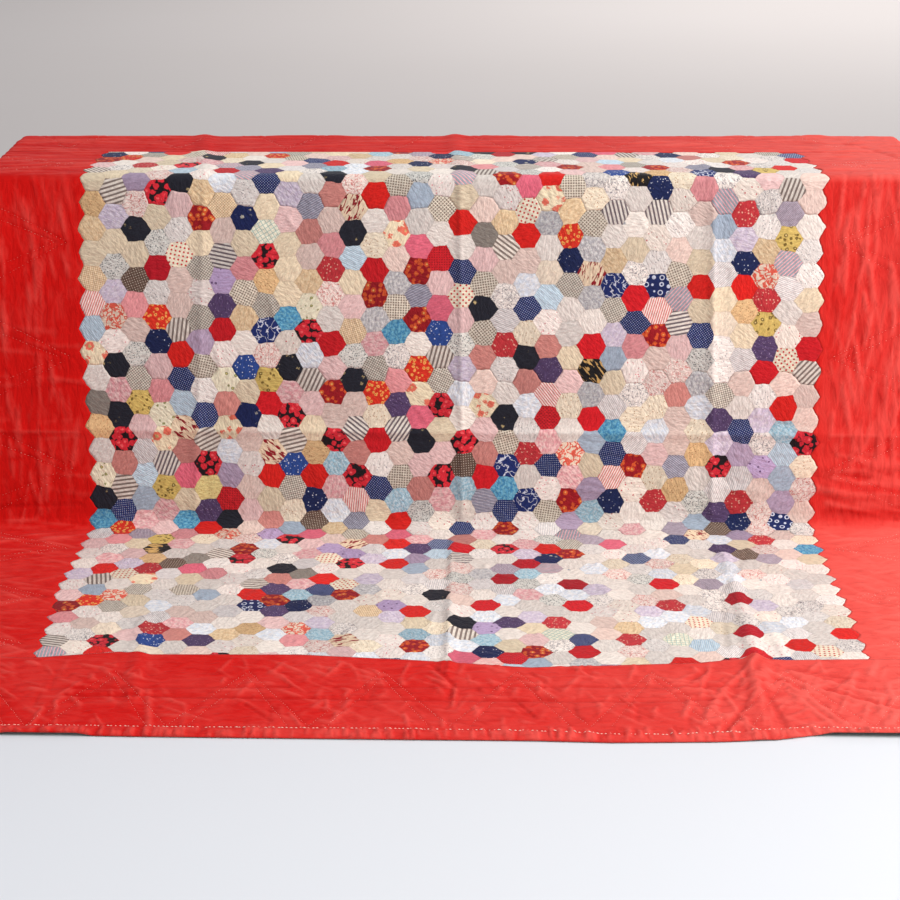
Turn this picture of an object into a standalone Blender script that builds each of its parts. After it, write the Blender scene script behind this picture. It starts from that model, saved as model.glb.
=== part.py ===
"""A hexagon patchwork quilt with a wide red border, draped over a long narrow table.

The quilt lies over the table's top, hangs a little way down its back and its ends,
falls down its front with a slight forward lean and runs on across the floor.
Metres, +Z up. The quilt's front is at -Y. Every cloth piece is worked out in the flat
quilt's own measures (across, along) and then hung over the table by one function.
"""
import math

import bmesh
import bpy
import numpy as np
from mathutils import Vector

# The patchwork: two-inch hexagons, points to the sides
HEX_FLATS = 0.0508
HEX_SIDE = HEX_FLATS / math.sqrt(3)
COLUMN_PITCH = 1.5 * HEX_SIDE
COLUMNS = 34
TIP_HALF_WIDTH = ((COLUMNS - 1) * COLUMN_PITCH + 2 * HEX_SIDE) / 2
TIP_DEPTH = 0.0125
CLOTH = 0.004
SEAM_GAP = 0.0004

# Where the quilt's lines lie along it, from the table's front edge
PATCH_BACK = -0.232
PATCH_FRONT = 1.345
BORDER = 0.285
QUILT_BACK = PATCH_BACK - BORDER
QUILT_FRONT = 1.637
QUILT_HALF_WIDTH = TIP_HALF_WIDTH + BORDER

# The table's fold lines, as the cloth's middle surface meets them
TABLE_HEIGHT = 0.720
REST_GAP = 0.0003
EDGE_GAP = 0.002
FOLD_LEFT = -0.946
FOLD_RIGHT = 0.977
FOLD_DEPTH = 0.418
TOP_LEVEL = TABLE_HEIGHT + REST_GAP + CLOTH / 2
FLOOR_LEVEL = CLOTH / 2
LEAN = math.radians(8.2)
DROP = (TOP_LEVEL - FLOOR_LEVEL) / math.cos(LEAN)

# How softly the cloth turns, and the ear that hangs at each table corner
EDGE_SOFT = 0.012
FLOOR_SOFT = 0.034
EAR_TILT_SHARE = 0.39
EAR_FULLNESS = 0.40
EAR_NECK = 0.008
EAR_NECK_REACH = 0.040
EAR_NECK_SPREAD = 0.050
EAR_ENDS = (0.12, 0.36)

# The part's origin is on the floor under the middle of the whole
ORIGIN = Vector((0.0, -0.271, 0.0))

# Plain table
TOP_THICKNESS = 0.024
TOP_CORNER = 0.020
TOP_ROUND = 0.016
LEG_SIDE = 0.045
LEG_INSET = 0.060
RAIL_HEIGHT = 0.070
RAIL_THICKNESS = 0.020

# First tip's place along the quilt and the tips' pitch on each side, as pieced by hand
TIPS = {
    "left": {"first": 0.0546, "pitch": 0.0508},
    "right": {"first": 0.0524, "pitch": 0.0494},
}

# How far the side seams stray outwards: along, left, right
SIDE_STRAY = (
    (-0.232, -0.018, -0.018),
    (0.000, -0.005, 0.003),
    (0.120, -0.001, -0.002),
    (0.330, 0.006, 0.004),
    (0.460, 0.000, 0.001),
    (0.570, -0.007, 0.002),
    (0.750, -0.001, 0.001),
    (0.900, 0.002, -0.002),
    (1.050, 0.010, -0.002),
    (1.150, 0.000, 0.001),
    (1.345, -0.008, -0.003),
)

# The patchwork's front seam and the quilt's front hem: across, seam, hem
FRONT_STRAY = (
    (-1.040, -0.002, -0.014),
    (-0.743, -0.002, -0.011),
    (-0.595, -0.027, -0.008),
    (-0.540, -0.016, -0.006),
    (-0.270, -0.016, 0.000),
    (-0.060, 0.006, 0.004),
    (0.140, 0.034, 0.007),
    (0.265, 0.027, 0.013),
    (0.440, 0.015, 0.010),
    (0.540, -0.006, 0.002),
    (0.600, 0.003, -0.012),
    (0.740, -0.001, -0.008),
    (1.040, 0.000, -0.010),
)

# Storage creases and drag folds: start across and along, end across and along, height, half width
FOLDS = (
    (0.005, -0.420, 0.020, 0.020, 0.0035, 0.030),
    (0.020, 0.020, 0.023, 0.700, 0.0030, 0.024),
    (0.010, 0.820, -0.001, 1.330, 0.0040, 0.022),
    (-0.001, 1.330, -0.018, 1.540, 0.0065, 0.024),
    (0.520, -0.150, 0.528, 0.060, 0.0025, 0.024),
    (0.528, 0.060, 0.541, 0.690, 0.0040, 0.024),
    (0.549, 0.860, 0.550, 1.150, 0.0050, 0.022),
    (0.550, 1.150, 0.544, 1.340, 0.0095, 0.024),
    (0.544, 1.340, 0.510, 1.637, 0.0130, 0.026),
    (-0.545, -0.420, -0.494, 0.020, 0.0035, 0.030),
    (-0.494, 0.020, -0.530, 0.690, 0.0025, 0.024),
    (-0.571, 1.180, -0.541, 1.530, 0.0045, 0.024),
    (-1.040, 0.517, 1.040, 0.531, 0.0030, 0.022),
    (0.790, 0.640, 1.040, 0.655, 0.0060, 0.026),
    (0.760, 0.600, 1.040, 0.585, 0.0035, 0.022),
    (0.640, 1.637, 0.980, 1.628, 0.0080, 0.045),
    (-0.730, 1.628, -0.620, 1.628, 0.0050, 0.035),
)

# How the solids' meshes are divided
BACK_ROWS = (-0.492, -0.466, -0.445, -0.430, -FOLD_DEPTH, -0.406, -0.320)
EDGE_ROWS = (-0.012, 0.012)
FRONT_ROWS = (1.400, 1.455, 1.505, 1.560, 1.600)
PATCH_COLUMNS = (-0.66, -0.58, -0.535, -0.495, -0.44, -0.30, -0.15, -0.02, 0.005, 0.03,
                 0.15, 0.30, 0.45, 0.52, 0.545, 0.57, 0.66)
LEFT_COLUMNS = (-1.016, -0.992, -0.972, -0.958, FOLD_LEFT, -0.934, -0.870, -0.805)
RIGHT_COLUMNS = (0.805, 0.890, 0.965, FOLD_RIGHT, 0.989, 1.003, 1.021)

# Colours
RED = (0.68, 0.018, 0.014, 1.0)
PIECED = (0.62, 0.45, 0.40, 1.0)
PALE_WOOD = (0.56, 0.40, 0.25, 1.0)


def smooth_step(value):
    """Rise from 0 to 1 with level ends."""
    held = np.clip(value, 0.0, 1.0)
    return held * held * (3.0 - 2.0 * held)


def column(table, index):
    """One column of a table."""
    return [row[index] for row in table]


def corner_fall(out, ahead, lean):
    """How the cloth hangs beyond a table corner: outward, forward and down from it."""
    reach = np.hypot(out, ahead)
    turn = np.arctan2(out, ahead)
    whole = math.pi / 2 - lean
    swing = math.pi * np.clip(turn / whole, 0.0, 1.0)
    along = whole * EAR_TILT_SHARE * np.sin(swing)
    aside = whole * EAR_TILT_SHARE * EAR_FULLNESS * np.sin(2 * swing)
    a = (along - aside) / math.sqrt(2)
    b = (along + aside) / math.sqrt(2) - np.clip(turn - whole, 0.0, lean)
    tilt = np.hypot(a, b)
    level = reach * np.sinc(tilt / math.pi)
    down = reach * np.cos(tilt)
    neck = EAR_NECK * smooth_step(reach / EAR_NECK_REACH)
    share = smooth_step(turn / (math.pi / 2))
    outward = level * a + neck * share
    forward = down * math.sin(lean) + level * b * math.cos(lean) + neck * (1 - share)
    fall = down * math.cos(lean) - level * b * math.sin(lean)
    return outward, forward, fall


def front_fall(ahead):
    """Down the leaning front and on across the floor: forward and down from the table's edge."""
    hanging = np.minimum(ahead, DROP)
    forward = hanging * math.sin(LEAN) + np.maximum(ahead - DROP, 0.0)
    return forward, hanging * math.cos(LEAN)


def hang(across, along):
    """The cloth's middle surface with sharp folds, for flat quilt measures."""
    inner = np.clip(across, FOLD_LEFT, FOLD_RIGHT)
    side = np.where(across > 0, 1.0, -1.0)
    out = np.abs(across - inner)
    to_end = np.minimum(inner - FOLD_LEFT, FOLD_RIGHT - inner)
    ahead = np.maximum(along, 0.0)
    behind = np.maximum(-FOLD_DEPTH - along, 0.0)
    near_end = EAR_NECK * np.exp(-(to_end / EAR_NECK_SPREAD) ** 2)

    x = inner
    y = -np.clip(along, -FOLD_DEPTH, 0.0)
    z = np.full(np.shape(x), TOP_LEVEL)

    forward, fall = front_fall(ahead)
    flat = smooth_step((ahead - EAR_ENDS[0]) / (EAR_ENDS[1] - EAR_ENDS[0]))
    bulge = near_end * smooth_step(ahead / EAR_NECK_REACH) * (1 - flat)
    ear_out, ear_forward, ear_fall = corner_fall(out, ahead, LEAN)
    in_front = along > 0
    off_end = out > 0
    front_out = np.where(off_end, ear_out * (1 - flat) + out * flat, 0.0)
    front_forward = np.where(off_end, ear_forward * (1 - flat) + forward * flat, forward + bulge)
    front_down = np.where(off_end, ear_fall * (1 - flat) + fall * flat, fall)

    back_out, back_forward, back_fall = corner_fall(out, behind, 0.0)
    in_back = behind > 0
    back_bulge = near_end * smooth_step(behind / EAR_NECK_REACH)
    back_out = np.where(off_end, back_out, 0.0)
    back_forward = np.where(off_end, back_forward, back_bulge)
    back_down = np.where(off_end, back_fall, behind)

    to_corner = np.minimum(np.maximum(-along, 0.0), np.maximum(along + FOLD_DEPTH, 0.0))
    end_bulge = EAR_NECK * np.exp(-(to_corner / EAR_NECK_SPREAD) ** 2)
    end_out = end_bulge * smooth_step(out / EAR_NECK_REACH)

    x = x + side * np.where(in_front, front_out, np.where(in_back, back_out, end_out))
    y = y + np.where(in_front, -front_forward, np.where(in_back, back_forward, 0.0))
    z = z - np.where(in_front, front_down, np.where(in_back, back_down, out))
    return np.stack((x, y, z), axis=-1)


def soft_hang(across, along):
    """The same surface with its folds rounded, by the mean of the places around each point."""
    bend = np.exp(-((along - DROP) / (3 * FLOOR_SOFT)) ** 2)
    soft = EDGE_SOFT + (FLOOR_SOFT - EDGE_SOFT) * bend
    total = 0.0
    for step_across, weight_across in ((-1, 1), (-0.5, 2), (0, 2), (0.5, 2), (1, 1)):
        for step_along, weight_along in ((-1, 1), (-0.5, 2), (0, 2), (0.5, 2), (1, 1)):
            weight = weight_across * weight_along / 64
            total = total + weight * hang(across + soft * step_across, along + soft * step_along)
    return total


def fold_height(across, along):
    """How far creases and drag folds stand up from the hung surface."""
    height = np.zeros(np.shape(across))
    for x0, y0, x1, y1, rise, half_width in FOLDS:
        length = math.hypot(x1 - x0, y1 - y0)
        dx = (x1 - x0) / length
        dy = (y1 - y0) / length
        run = (across - x0) * dx + (along - y0) * dy
        off = np.abs((across - x0) * dy - (along - y0) * dx)
        past = np.maximum(np.maximum(-run, run - length), 0.0)
        ridge = smooth_step(1 - np.hypot(off, past) / half_width)
        height = np.maximum(height, rise * ridge)
    return height


def surface(across, along):
    """Points of the cloth's middle surface, and the way its face looks there."""
    step = 0.002
    points = soft_hang(across, along)
    by_across = soft_hang(across + step, along) - soft_hang(across - step, along)
    by_along = soft_hang(across, along + step) - soft_hang(across, along - step)
    normals = np.cross(by_along, by_across)
    normals /= np.linalg.norm(normals, axis=-1, keepdims=True)
    return points + normals * fold_height(across, along)[..., None], normals


def side_seam(side, along):
    """Across measure of a side seam: a zigzag of hexagon tips that strays as it was pieced."""
    tips = TIPS[side]
    turn = (along - tips["first"]) / tips["pitch"]
    notch = 2 * np.abs(turn - np.round(turn))
    stray_column = 1 if side == "left" else 2
    stray = np.interp(along, column(SIDE_STRAY, 0), column(SIDE_STRAY, stray_column))
    half = TIP_HALF_WIDTH - TIP_DEPTH * notch + stray
    return -half if side == "left" else half


def front_seam(across):
    """Along measure of the patchwork's front seam."""
    return PATCH_FRONT + np.interp(across, column(FRONT_STRAY, 0), column(FRONT_STRAY, 1))


def front_hem(across):
    """Along measure of the quilt's front hem."""
    return QUILT_FRONT + np.interp(across, column(FRONT_STRAY, 0), column(FRONT_STRAY, 2))


def side_rows(side):
    """Along measures of a side seam's tips and notches, and of the table edge between them."""
    tips = TIPS[side]
    half_pitch = tips["pitch"] / 2
    end = float(front_seam(-TIP_HALF_WIDTH if side == "left" else TIP_HALF_WIDTH))
    first = math.ceil((PATCH_BACK + 0.004 - tips["first"]) / half_pitch)
    last = math.floor((end - 0.004 - tips["first"]) / half_pitch)
    rows = [tips["first"] + half_pitch * index for index in range(first, last + 1)]
    rows += [row for row in EDGE_ROWS if min(abs(row - other) for other in rows) > 0.004]
    return [PATCH_BACK] + sorted(rows) + [end]


def matched_rows():
    """Both side seams' rows, with the shorter list's widest steps halved to match."""
    rows = {"left": side_rows("left"), "right": side_rows("right")}
    count = max(len(rows["left"]), len(rows["right"]))
    for side_list in rows.values():
        while len(side_list) < count:
            steps = [b - a for a, b in zip(side_list, side_list[1:])]
            widest = steps.index(max(steps))
            side_list.insert(widest + 1, (side_list[widest] + side_list[widest + 1]) / 2)
    return rows


def material(name, colour, roughness):
    """A plain surface colour for one kind of piece."""
    made = bpy.data.materials.new(name)
    made.use_nodes = True
    shader = made.node_tree.nodes["Principled BSDF"]
    shader.inputs["Base Color"].default_value = colour
    shader.inputs["Roughness"].default_value = roughness
    made.diffuse_color = colour
    return made


def add_object(name, mesh, finish, group):
    """Give a mesh its object, its material and its parent."""
    mesh.materials.append(finish)
    made = bpy.data.objects.new(name, mesh)
    bpy.context.scene.collection.objects.link(made)
    made.parent = group
    return made


def cloth_piece(name, across, along, finish, group):
    """One closed sheet from rows of flat measures, hung over the table."""
    middle, normals = surface(across, along)
    rows, columns = across.shape
    faces_up = middle + normals * CLOTH / 2
    faces_down = middle - normals * CLOTH / 2
    shape = bmesh.new()
    upper = [[shape.verts.new(point) for point in row] for row in faces_up]
    lower = [[shape.verts.new(point) for point in row] for row in faces_down]
    for r in range(rows - 1):
        for c in range(columns - 1):
            corners = ((r, c), (r + 1, c), (r + 1, c + 1), (r, c + 1))
            shape.faces.new([upper[i][j] for i, j in corners])
            shape.faces.new([lower[i][j] for i, j in reversed(corners)])
    rim = [(0, c) for c in range(columns)]
    rim += [(r, columns - 1) for r in range(1, rows)]
    rim += [(rows - 1, c) for c in range(columns - 2, -1, -1)]
    rim += [(r, 0) for r in range(rows - 2, 0, -1)]
    for here, after in zip(rim, rim[1:] + rim[:1]):
        quad = (upper[here[0]][here[1]], upper[after[0]][after[1]],
                lower[after[0]][after[1]], lower[here[0]][here[1]])
        # Cut from the first row's upper side, so that two edges at one seam match
        if here < after:
            halves = ((0, 1, 2), (0, 2, 3))
        else:
            halves = ((0, 1, 3), (1, 2, 3))
        for half in halves:
            shape.faces.new([quad[i] for i in half])
    bmesh.ops.recalc_face_normals(shape, faces=shape.faces)
    mesh = bpy.data.meshes.new(name)
    shape.to_mesh(mesh)
    shape.free()
    mesh.shade_smooth()
    return add_object(name, mesh, finish, group)


def patchwork_panel(rows, finish, group):
    """The pieced middle, between its four seams."""
    left = np.array(rows["left"])
    right = np.array(rows["right"])
    left_edge = side_seam("left", left) + SEAM_GAP / 2
    right_edge = side_seam("right", right) - SEAM_GAP / 2
    inner = np.array(PATCH_COLUMNS)
    across = np.empty((len(left), len(inner) + 2))
    across[:, 0] = left_edge
    across[:, 1:-1] = inner
    across[:, -1] = right_edge
    share = (across + TIP_HALF_WIDTH) / (2 * TIP_HALF_WIDTH)
    along = left[:, None] + (right - left)[:, None] * share
    along[0] += SEAM_GAP / 2
    along[-1] = front_seam(across[-1]) - SEAM_GAP / 2
    near_front = np.clip((along[:-1] - 1.15) / (PATCH_FRONT - 1.15), 0.0, 1.0)
    straight = left[-1] + (right[-1] - left[-1]) * share[:-1]
    along[:-1] += near_front * (front_seam(across[:-1]) - straight)
    along[:-1, 0] = left[:-1]
    along[:-1, -1] = right[:-1]
    along[0, 0] = along[0, -1] = PATCH_BACK + SEAM_GAP / 2
    return cloth_piece("patchwork_panel", across, along, finish, group)


def side_border(side, rows, finish, group):
    """A red strip beside the patchwork, from its zigzag seam out to the quilt's edge."""
    along_rows = np.array(rows[side])
    edge = side_seam(side, along_rows)
    if side == "left":
        outer = np.array((-QUILT_HALF_WIDTH,) + LEFT_COLUMNS)
        across = np.column_stack((np.tile(outer, (len(edge), 1)), edge - SEAM_GAP / 2))
    else:
        outer = np.array(RIGHT_COLUMNS + (QUILT_HALF_WIDTH,))
        across = np.column_stack((edge + SEAM_GAP / 2, np.tile(outer, (len(edge), 1))))
    along = np.repeat(along_rows[:, None], across.shape[1], axis=1)
    along[0] += SEAM_GAP / 2
    along[-1] = front_seam(across[-1]) - SEAM_GAP / 2
    return cloth_piece("border_" + side, across, along, finish, group)


def cross_columns(back):
    """Across measures of a strip that runs the quilt's whole width."""
    at = PATCH_BACK if back else PATCH_FRONT
    seams = (float(side_seam("left", at)), float(side_seam("right", at)))
    ends = (-QUILT_HALF_WIDTH,) + LEFT_COLUMNS + (seams[0],)
    other = (seams[1],) + RIGHT_COLUMNS + (QUILT_HALF_WIDTH,)
    return np.array(sorted(ends + PATCH_COLUMNS + other))


def back_border(finish, group):
    """The red strip over the back of the table's top and down behind it."""
    across_line = cross_columns(True)
    along_line = np.array((QUILT_BACK,) + BACK_ROWS + (PATCH_BACK - SEAM_GAP / 2,))
    along, across = np.meshgrid(along_line, across_line, indexing="ij")
    return cloth_piece("border_back", across, along, finish, group)


def front_border(finish, group):
    """The red strip on the floor, from the patchwork's front seam to the hem."""
    across_line = cross_columns(False)
    inner, across = np.meshgrid(np.array(FRONT_ROWS), across_line, indexing="ij")
    seam = front_seam(across_line) + SEAM_GAP / 2
    hem = front_hem(across_line)
    along = np.vstack((seam, inner, hem))
    across = np.vstack((across_line, across, across_line))
    return cloth_piece("border_front", across, along, finish, group)


def block(name, low, high, finish, group, rounding=None):
    """A board or post between two corners, its vertical and upper edges eased if asked."""
    shape = bmesh.new()
    bmesh.ops.create_cube(shape, size=1.0)
    for vert in shape.verts:
        vert.co = Vector([(low[i] + high[i]) / 2 + vert.co[i] * (high[i] - low[i])
                          for i in range(3)])
    if rounding:
        corner, edge = rounding
        upright = [e for e in shape.edges if abs(e.verts[0].co.z - e.verts[1].co.z) > 1e-6]
        bmesh.ops.bevel(shape, geom=upright, offset=corner, segments=4, profile=0.5,
                        affect="EDGES")
        top = [e for e in shape.edges if min(v.co.z for v in e.verts) > high[2] - 1e-6]
        bmesh.ops.bevel(shape, geom=top, offset=edge, segments=3, profile=0.5, affect="EDGES")
    mesh = bpy.data.meshes.new(name)
    shape.to_mesh(mesh)
    shape.free()
    return add_object(name, mesh, finish, group)


def table(finish, group):
    """A plain narrow table: a top, four legs and four rails."""
    clear = CLOTH / 2 + EDGE_GAP
    low_x = FOLD_LEFT + clear
    high_x = FOLD_RIGHT - clear
    low_y = clear
    high_y = FOLD_DEPTH - clear
    under = TABLE_HEIGHT - TOP_THICKNESS
    block("table_top", (low_x, low_y, under), (high_x, high_y, TABLE_HEIGHT), finish, group,
          (TOP_CORNER, TOP_ROUND))
    leg_x = {"left": (low_x + LEG_INSET, low_x + LEG_INSET + LEG_SIDE),
             "right": (high_x - LEG_INSET - LEG_SIDE, high_x - LEG_INSET)}
    leg_y = {"front": (low_y + LEG_INSET / 2, low_y + LEG_INSET / 2 + LEG_SIDE),
             "back": (high_y - LEG_INSET / 2 - LEG_SIDE, high_y - LEG_INSET / 2)}
    leg_top = under - REST_GAP
    for row, (y0, y1) in leg_y.items():
        for end, (x0, x1) in leg_x.items():
            block(f"leg_{row}_{end}", (x0, y0, 0.0), (x1, y1, leg_top), finish, group)
    rail_low = leg_top - RAIL_HEIGHT
    back_off = (LEG_SIDE - RAIL_THICKNESS) / 2
    for row, (y0, y1) in leg_y.items():
        block(f"rail_{row}", (leg_x["left"][1] + REST_GAP, y0 + back_off, rail_low),
              (leg_x["right"][0] - REST_GAP, y1 - back_off, leg_top), finish, group)
    for end, (x0, x1) in leg_x.items():
        block(f"rail_{end}", (x0 + back_off, leg_y["front"][1] + REST_GAP, rail_low),
              (x1 - back_off, leg_y["back"][0] - REST_GAP, leg_top), finish, group)


def build():
    """Clear the file's objects and make the quilt on its table."""
    for old in list(bpy.data.objects):
        bpy.data.objects.remove(old, do_unlink=True)
    group = bpy.data.objects.new("quilt_on_table", None)
    bpy.context.scene.collection.objects.link(group)
    group.location = -ORIGIN
    red = material("turkey_red_cotton", RED, 0.85)
    pieced = material("pieced_cotton", PIECED, 0.85)
    wood = material("pale_wood", PALE_WOOD, 0.55)
    rows = matched_rows()
    patchwork_panel(rows, pieced, group)
    side_border("left", rows, red, group)
    side_border("right", rows, red, group)
    back_border(red, group)
    front_border(red, group)
    table(wood, group)
    bpy.context.view_layer.update()


build()
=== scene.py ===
"""A hexagon patchwork quilt with a wide red border, draped over a long narrow table.

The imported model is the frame: every piece here is hung by the same drape as its solid,
from the quilt's own flat measures (across, along), with along = 0 at the table's front
edge. Metres, +Z up, the quilt's front at -Y.
"""
import math

import bpy
import numpy as np
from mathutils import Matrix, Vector


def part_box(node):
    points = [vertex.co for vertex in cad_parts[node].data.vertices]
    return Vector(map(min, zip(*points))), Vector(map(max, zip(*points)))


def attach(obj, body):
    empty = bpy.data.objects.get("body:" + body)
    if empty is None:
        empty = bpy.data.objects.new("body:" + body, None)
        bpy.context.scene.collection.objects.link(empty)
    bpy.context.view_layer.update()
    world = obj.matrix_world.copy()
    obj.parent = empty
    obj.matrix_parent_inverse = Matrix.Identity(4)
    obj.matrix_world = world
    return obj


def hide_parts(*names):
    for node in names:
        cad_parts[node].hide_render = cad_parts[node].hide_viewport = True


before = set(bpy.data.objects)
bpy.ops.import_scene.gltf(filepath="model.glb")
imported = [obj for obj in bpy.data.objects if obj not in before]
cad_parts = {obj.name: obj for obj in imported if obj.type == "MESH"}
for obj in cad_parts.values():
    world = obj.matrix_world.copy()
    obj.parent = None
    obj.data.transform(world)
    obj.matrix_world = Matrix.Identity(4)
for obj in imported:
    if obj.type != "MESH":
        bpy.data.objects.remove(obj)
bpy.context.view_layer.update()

bl_info = {
    "name": "Hexagon patchwork quilt over a table",
    "version": (1, 0, 0),
    "blender": (4, 5, 0),
    "location": "View3D > Sidebar > Quilt",
    "description": "Makes a red bordered hexagon patchwork quilt that hangs over a table",
    "category": "Object",
}

# The patchwork: two-inch hexagons, points to the sides
HEX_FLATS = 0.0508
HEX_SIDE = HEX_FLATS / math.sqrt(3)
COLUMN_PITCH = 1.5 * HEX_SIDE
COLUMNS = 34
TIP_HALF_WIDTH = ((COLUMNS - 1) * COLUMN_PITCH + 2 * HEX_SIDE) / 2
CLOTH = 0.004
THINNEST = 0.0012

# Where the quilt's lines lie along it, from the table's front edge
PATCH_BACK = -0.232
PATCH_FRONT = 1.345
BORDER = 0.285
QUILT_BACK = PATCH_BACK - BORDER
QUILT_FRONT = 1.637
QUILT_HALF_WIDTH = TIP_HALF_WIDTH + BORDER
HEM_TURN = 0.030

# The table's fold lines, as the cloth's middle surface meets them
TABLE_HEIGHT = 0.720
REST_GAP = 0.0003
FOLD_LEFT = -0.946
FOLD_RIGHT = 0.977
FOLD_DEPTH = 0.418
TOP_LEVEL = TABLE_HEIGHT + REST_GAP + CLOTH / 2
FLOOR_LEVEL = CLOTH / 2
LEAN = math.radians(8.2)
DROP = (TOP_LEVEL - FLOOR_LEVEL) / math.cos(LEAN)

# How softly the cloth turns, and the ear that hangs at each table corner
EDGE_SOFT = 0.012
FLOOR_SOFT = 0.034
EAR_TILT_SHARE = 0.39
EAR_FULLNESS = 0.40
EAR_NECK = 0.008
EAR_NECK_REACH = 0.040
EAR_NECK_SPREAD = 0.050
EAR_ENDS = (0.12, 0.36)

# From the quilt's own place to the frame's
PLACE = np.array((0.0, 0.271, 0.0))

# The first tip's place along the quilt and the tips' pitch on each side, as pieced by hand
TIPS = {
    "left": {"first": 0.0546, "pitch": 0.0508},
    "right": {"first": 0.0524, "pitch": 0.0494},
}

# How far the side seams stray outwards: along, left, right, in millimetres
SIDE_STRAY = np.array((
    (-232, -18, -18), (0, -5, 3), (120, -1, -2), (330, 6, 4), (460, 0, 1), (570, -7, 2),
    (750, -1, 1), (900, 2, -2), (1050, 10, -2), (1150, 0, 1), (1345, -8, -3),
)) / 1000

# How far a patch's corners stray from the true hexagon, how much the outer tips are blunted,
# after how many places the strays repeat, and how far the seams wave
CORNER_STRAY = 0.0026
TIP_ROUND = 0.0014
STRAY_SPOTS = 101
SEAM_WAVE = 0.0012

# How far the patchwork's front seam and the quilt's front hem stray forward: across, seam,
# hem, in millimetres
FRONT_STRAY = np.array((
    (-1040, -2, -14), (-743, -2, -11), (-595, -27, -8), (-540, -16, -6), (-270, -16, 0),
    (-60, 6, 4), (140, 34, 7), (265, 27, 13), (440, 15, 10), (540, -6, 2), (600, 3, -12),
    (740, -1, -8), (1040, 0, -10),
)) / 1000

# How far the front hem's stitch line lies in from the hem: across, distance, in millimetres
HEM_LINE = np.array((
    (-1000, 29), (-100, 34), (200, 30), (350, 20), (540, 29), (760, 18), (1000, 18),
)) / 1000

# Storage creases and drag folds, in millimetres: start across and along, end across and
# along, height at the start and at the end, half width
FOLDS = np.array((
    (5, -420, 20, 20, 3.5, 3.5, 30), (20, 20, 23, 700, 3, 3, 24),
    (10, 820, -1, 1330, 4, 5.5, 22), (-1, 1330, -18, 1500, 5.5, 0.8, 20),
    (520, -150, 528, 60, 2.5, 2.5, 24), (528, 60, 541, 690, 4, 4, 24),
    (549, 860, 550, 1150, 5, 7, 22), (550, 1150, 545, 1360, 7, 11, 26),
    (545, 1360, 512, 1637, 11, 1.2, 32), (-545, -420, -494, 20, 3.5, 3.5, 30),
    (-494, 20, -530, 690, 2.5, 2.5, 24), (-571, 1180, -541, 1530, 4.5, 3, 24),
    (-1040, 517, 1040, 531, 3, 3, 22), (790, 640, 1040, 655, 6, 6, 26),
    (760, 600, 1040, 585, 3.5, 3.5, 22), (640, 1637, 980, 1628, 8, 8, 45),
    (-730, 1628, -620, 1628, 5, 5, 35),
)) / 1000

# Sharp lines pressed into the face, in millimetres: start across and along, end across and
# along, height, half width
PRESSED = np.array((
    (18, 20, 23, 700, 3, 8), (2, 800, -4, 1345, 2.8, 8), (-4, 1345, -12, 1420, -2, 6),
    (-30, 1400, 10, 1470, 2.2, 8), (527, 40, 541, 690, 2.6, 8), (-497, 40, -530, 690, 1.8, 8),
    (-700, 520, 700, 528, 2, 9), (-60, 1503, 340, 1508, -3, 8), (-660, 1488, -60, 1503, -3, 8),
    (340, 1508, 470, 1498, -2.6, 8), (-690, 1462, -280, 1455, -2, 8),
    (-200, 1456, 500, 1452, -2, 8), (620, 1462, 1000, 1456, -2, 8),
    (548, 1350, 470, 1470, 3, 10), (470, 1470, 425, 1590, 2.6, 10),
    (560, 1400, 640, 1470, 3, 11), (640, 1470, 800, 1580, 3.8, 10),
    (655, 1462, 815, 1570, -2.8, 9), (600, 1400, 760, 1500, 3.4, 10),
    (580, 1440, 660, 1590, 3.4, 10), (540, 1440, 560, 1600, -2.8, 10),
    (500, 1530, 455, 1612, -2.8, 9), (-30, 1375, 6, 1445, -2.8, 7), (6, 1445, -4, 1500, -2, 6),
    (110, 1500, 140, 1560, -2.4, 6), (140, 1400, 190, 1470, -1.6, 7),
    (-350, 1520, -300, 1580, -1.8, 7), (-520, 1470, -500, 1600, 2, 10),
    (775, 694, 1035, 704, -3, 14), (790, 648, 1000, 684, 3.8, 13),
    (850, 606, 1030, 660, 3, 12), (780, 672, 900, 700, 2.4, 10),
    (595, 1380, 720, 1430, -2.2, 9), (450, 1390, 440, 1460, -2.2, 9),
    (520, 1080, 500, 1300, -2.4, 12), (585, 1160, 600, 1330, 2.2, 14),
    (470, 900, 560, 1020, 2, 10), (600, 860, 520, 1060, -1.8, 10),
    (-1000, 520, -770, 524, 1.4, 6), (780, 528, 1010, 530, 1.4, 6),
    (-980, 684, -770, 676, -1.6, 7), (-1000, 744, -780, 752, -1.4, 7),
    (-905, 30, -912, 500, 1, 6), (-842, 180, -850, 700, 1, 6), (800, 570, 990, 612, 2.2, 10),
    (790, 618, 960, 640, 2.4, 10), (500, 1600, 470, 1470, 2.2, 8),
    (460, 1610, 520, 1480, -1.8, 7), (585, 1470, 640, 1600, 2, 8),
    (850, -330, 965, -120, -2.4, 12),
)) / 1000

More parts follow.
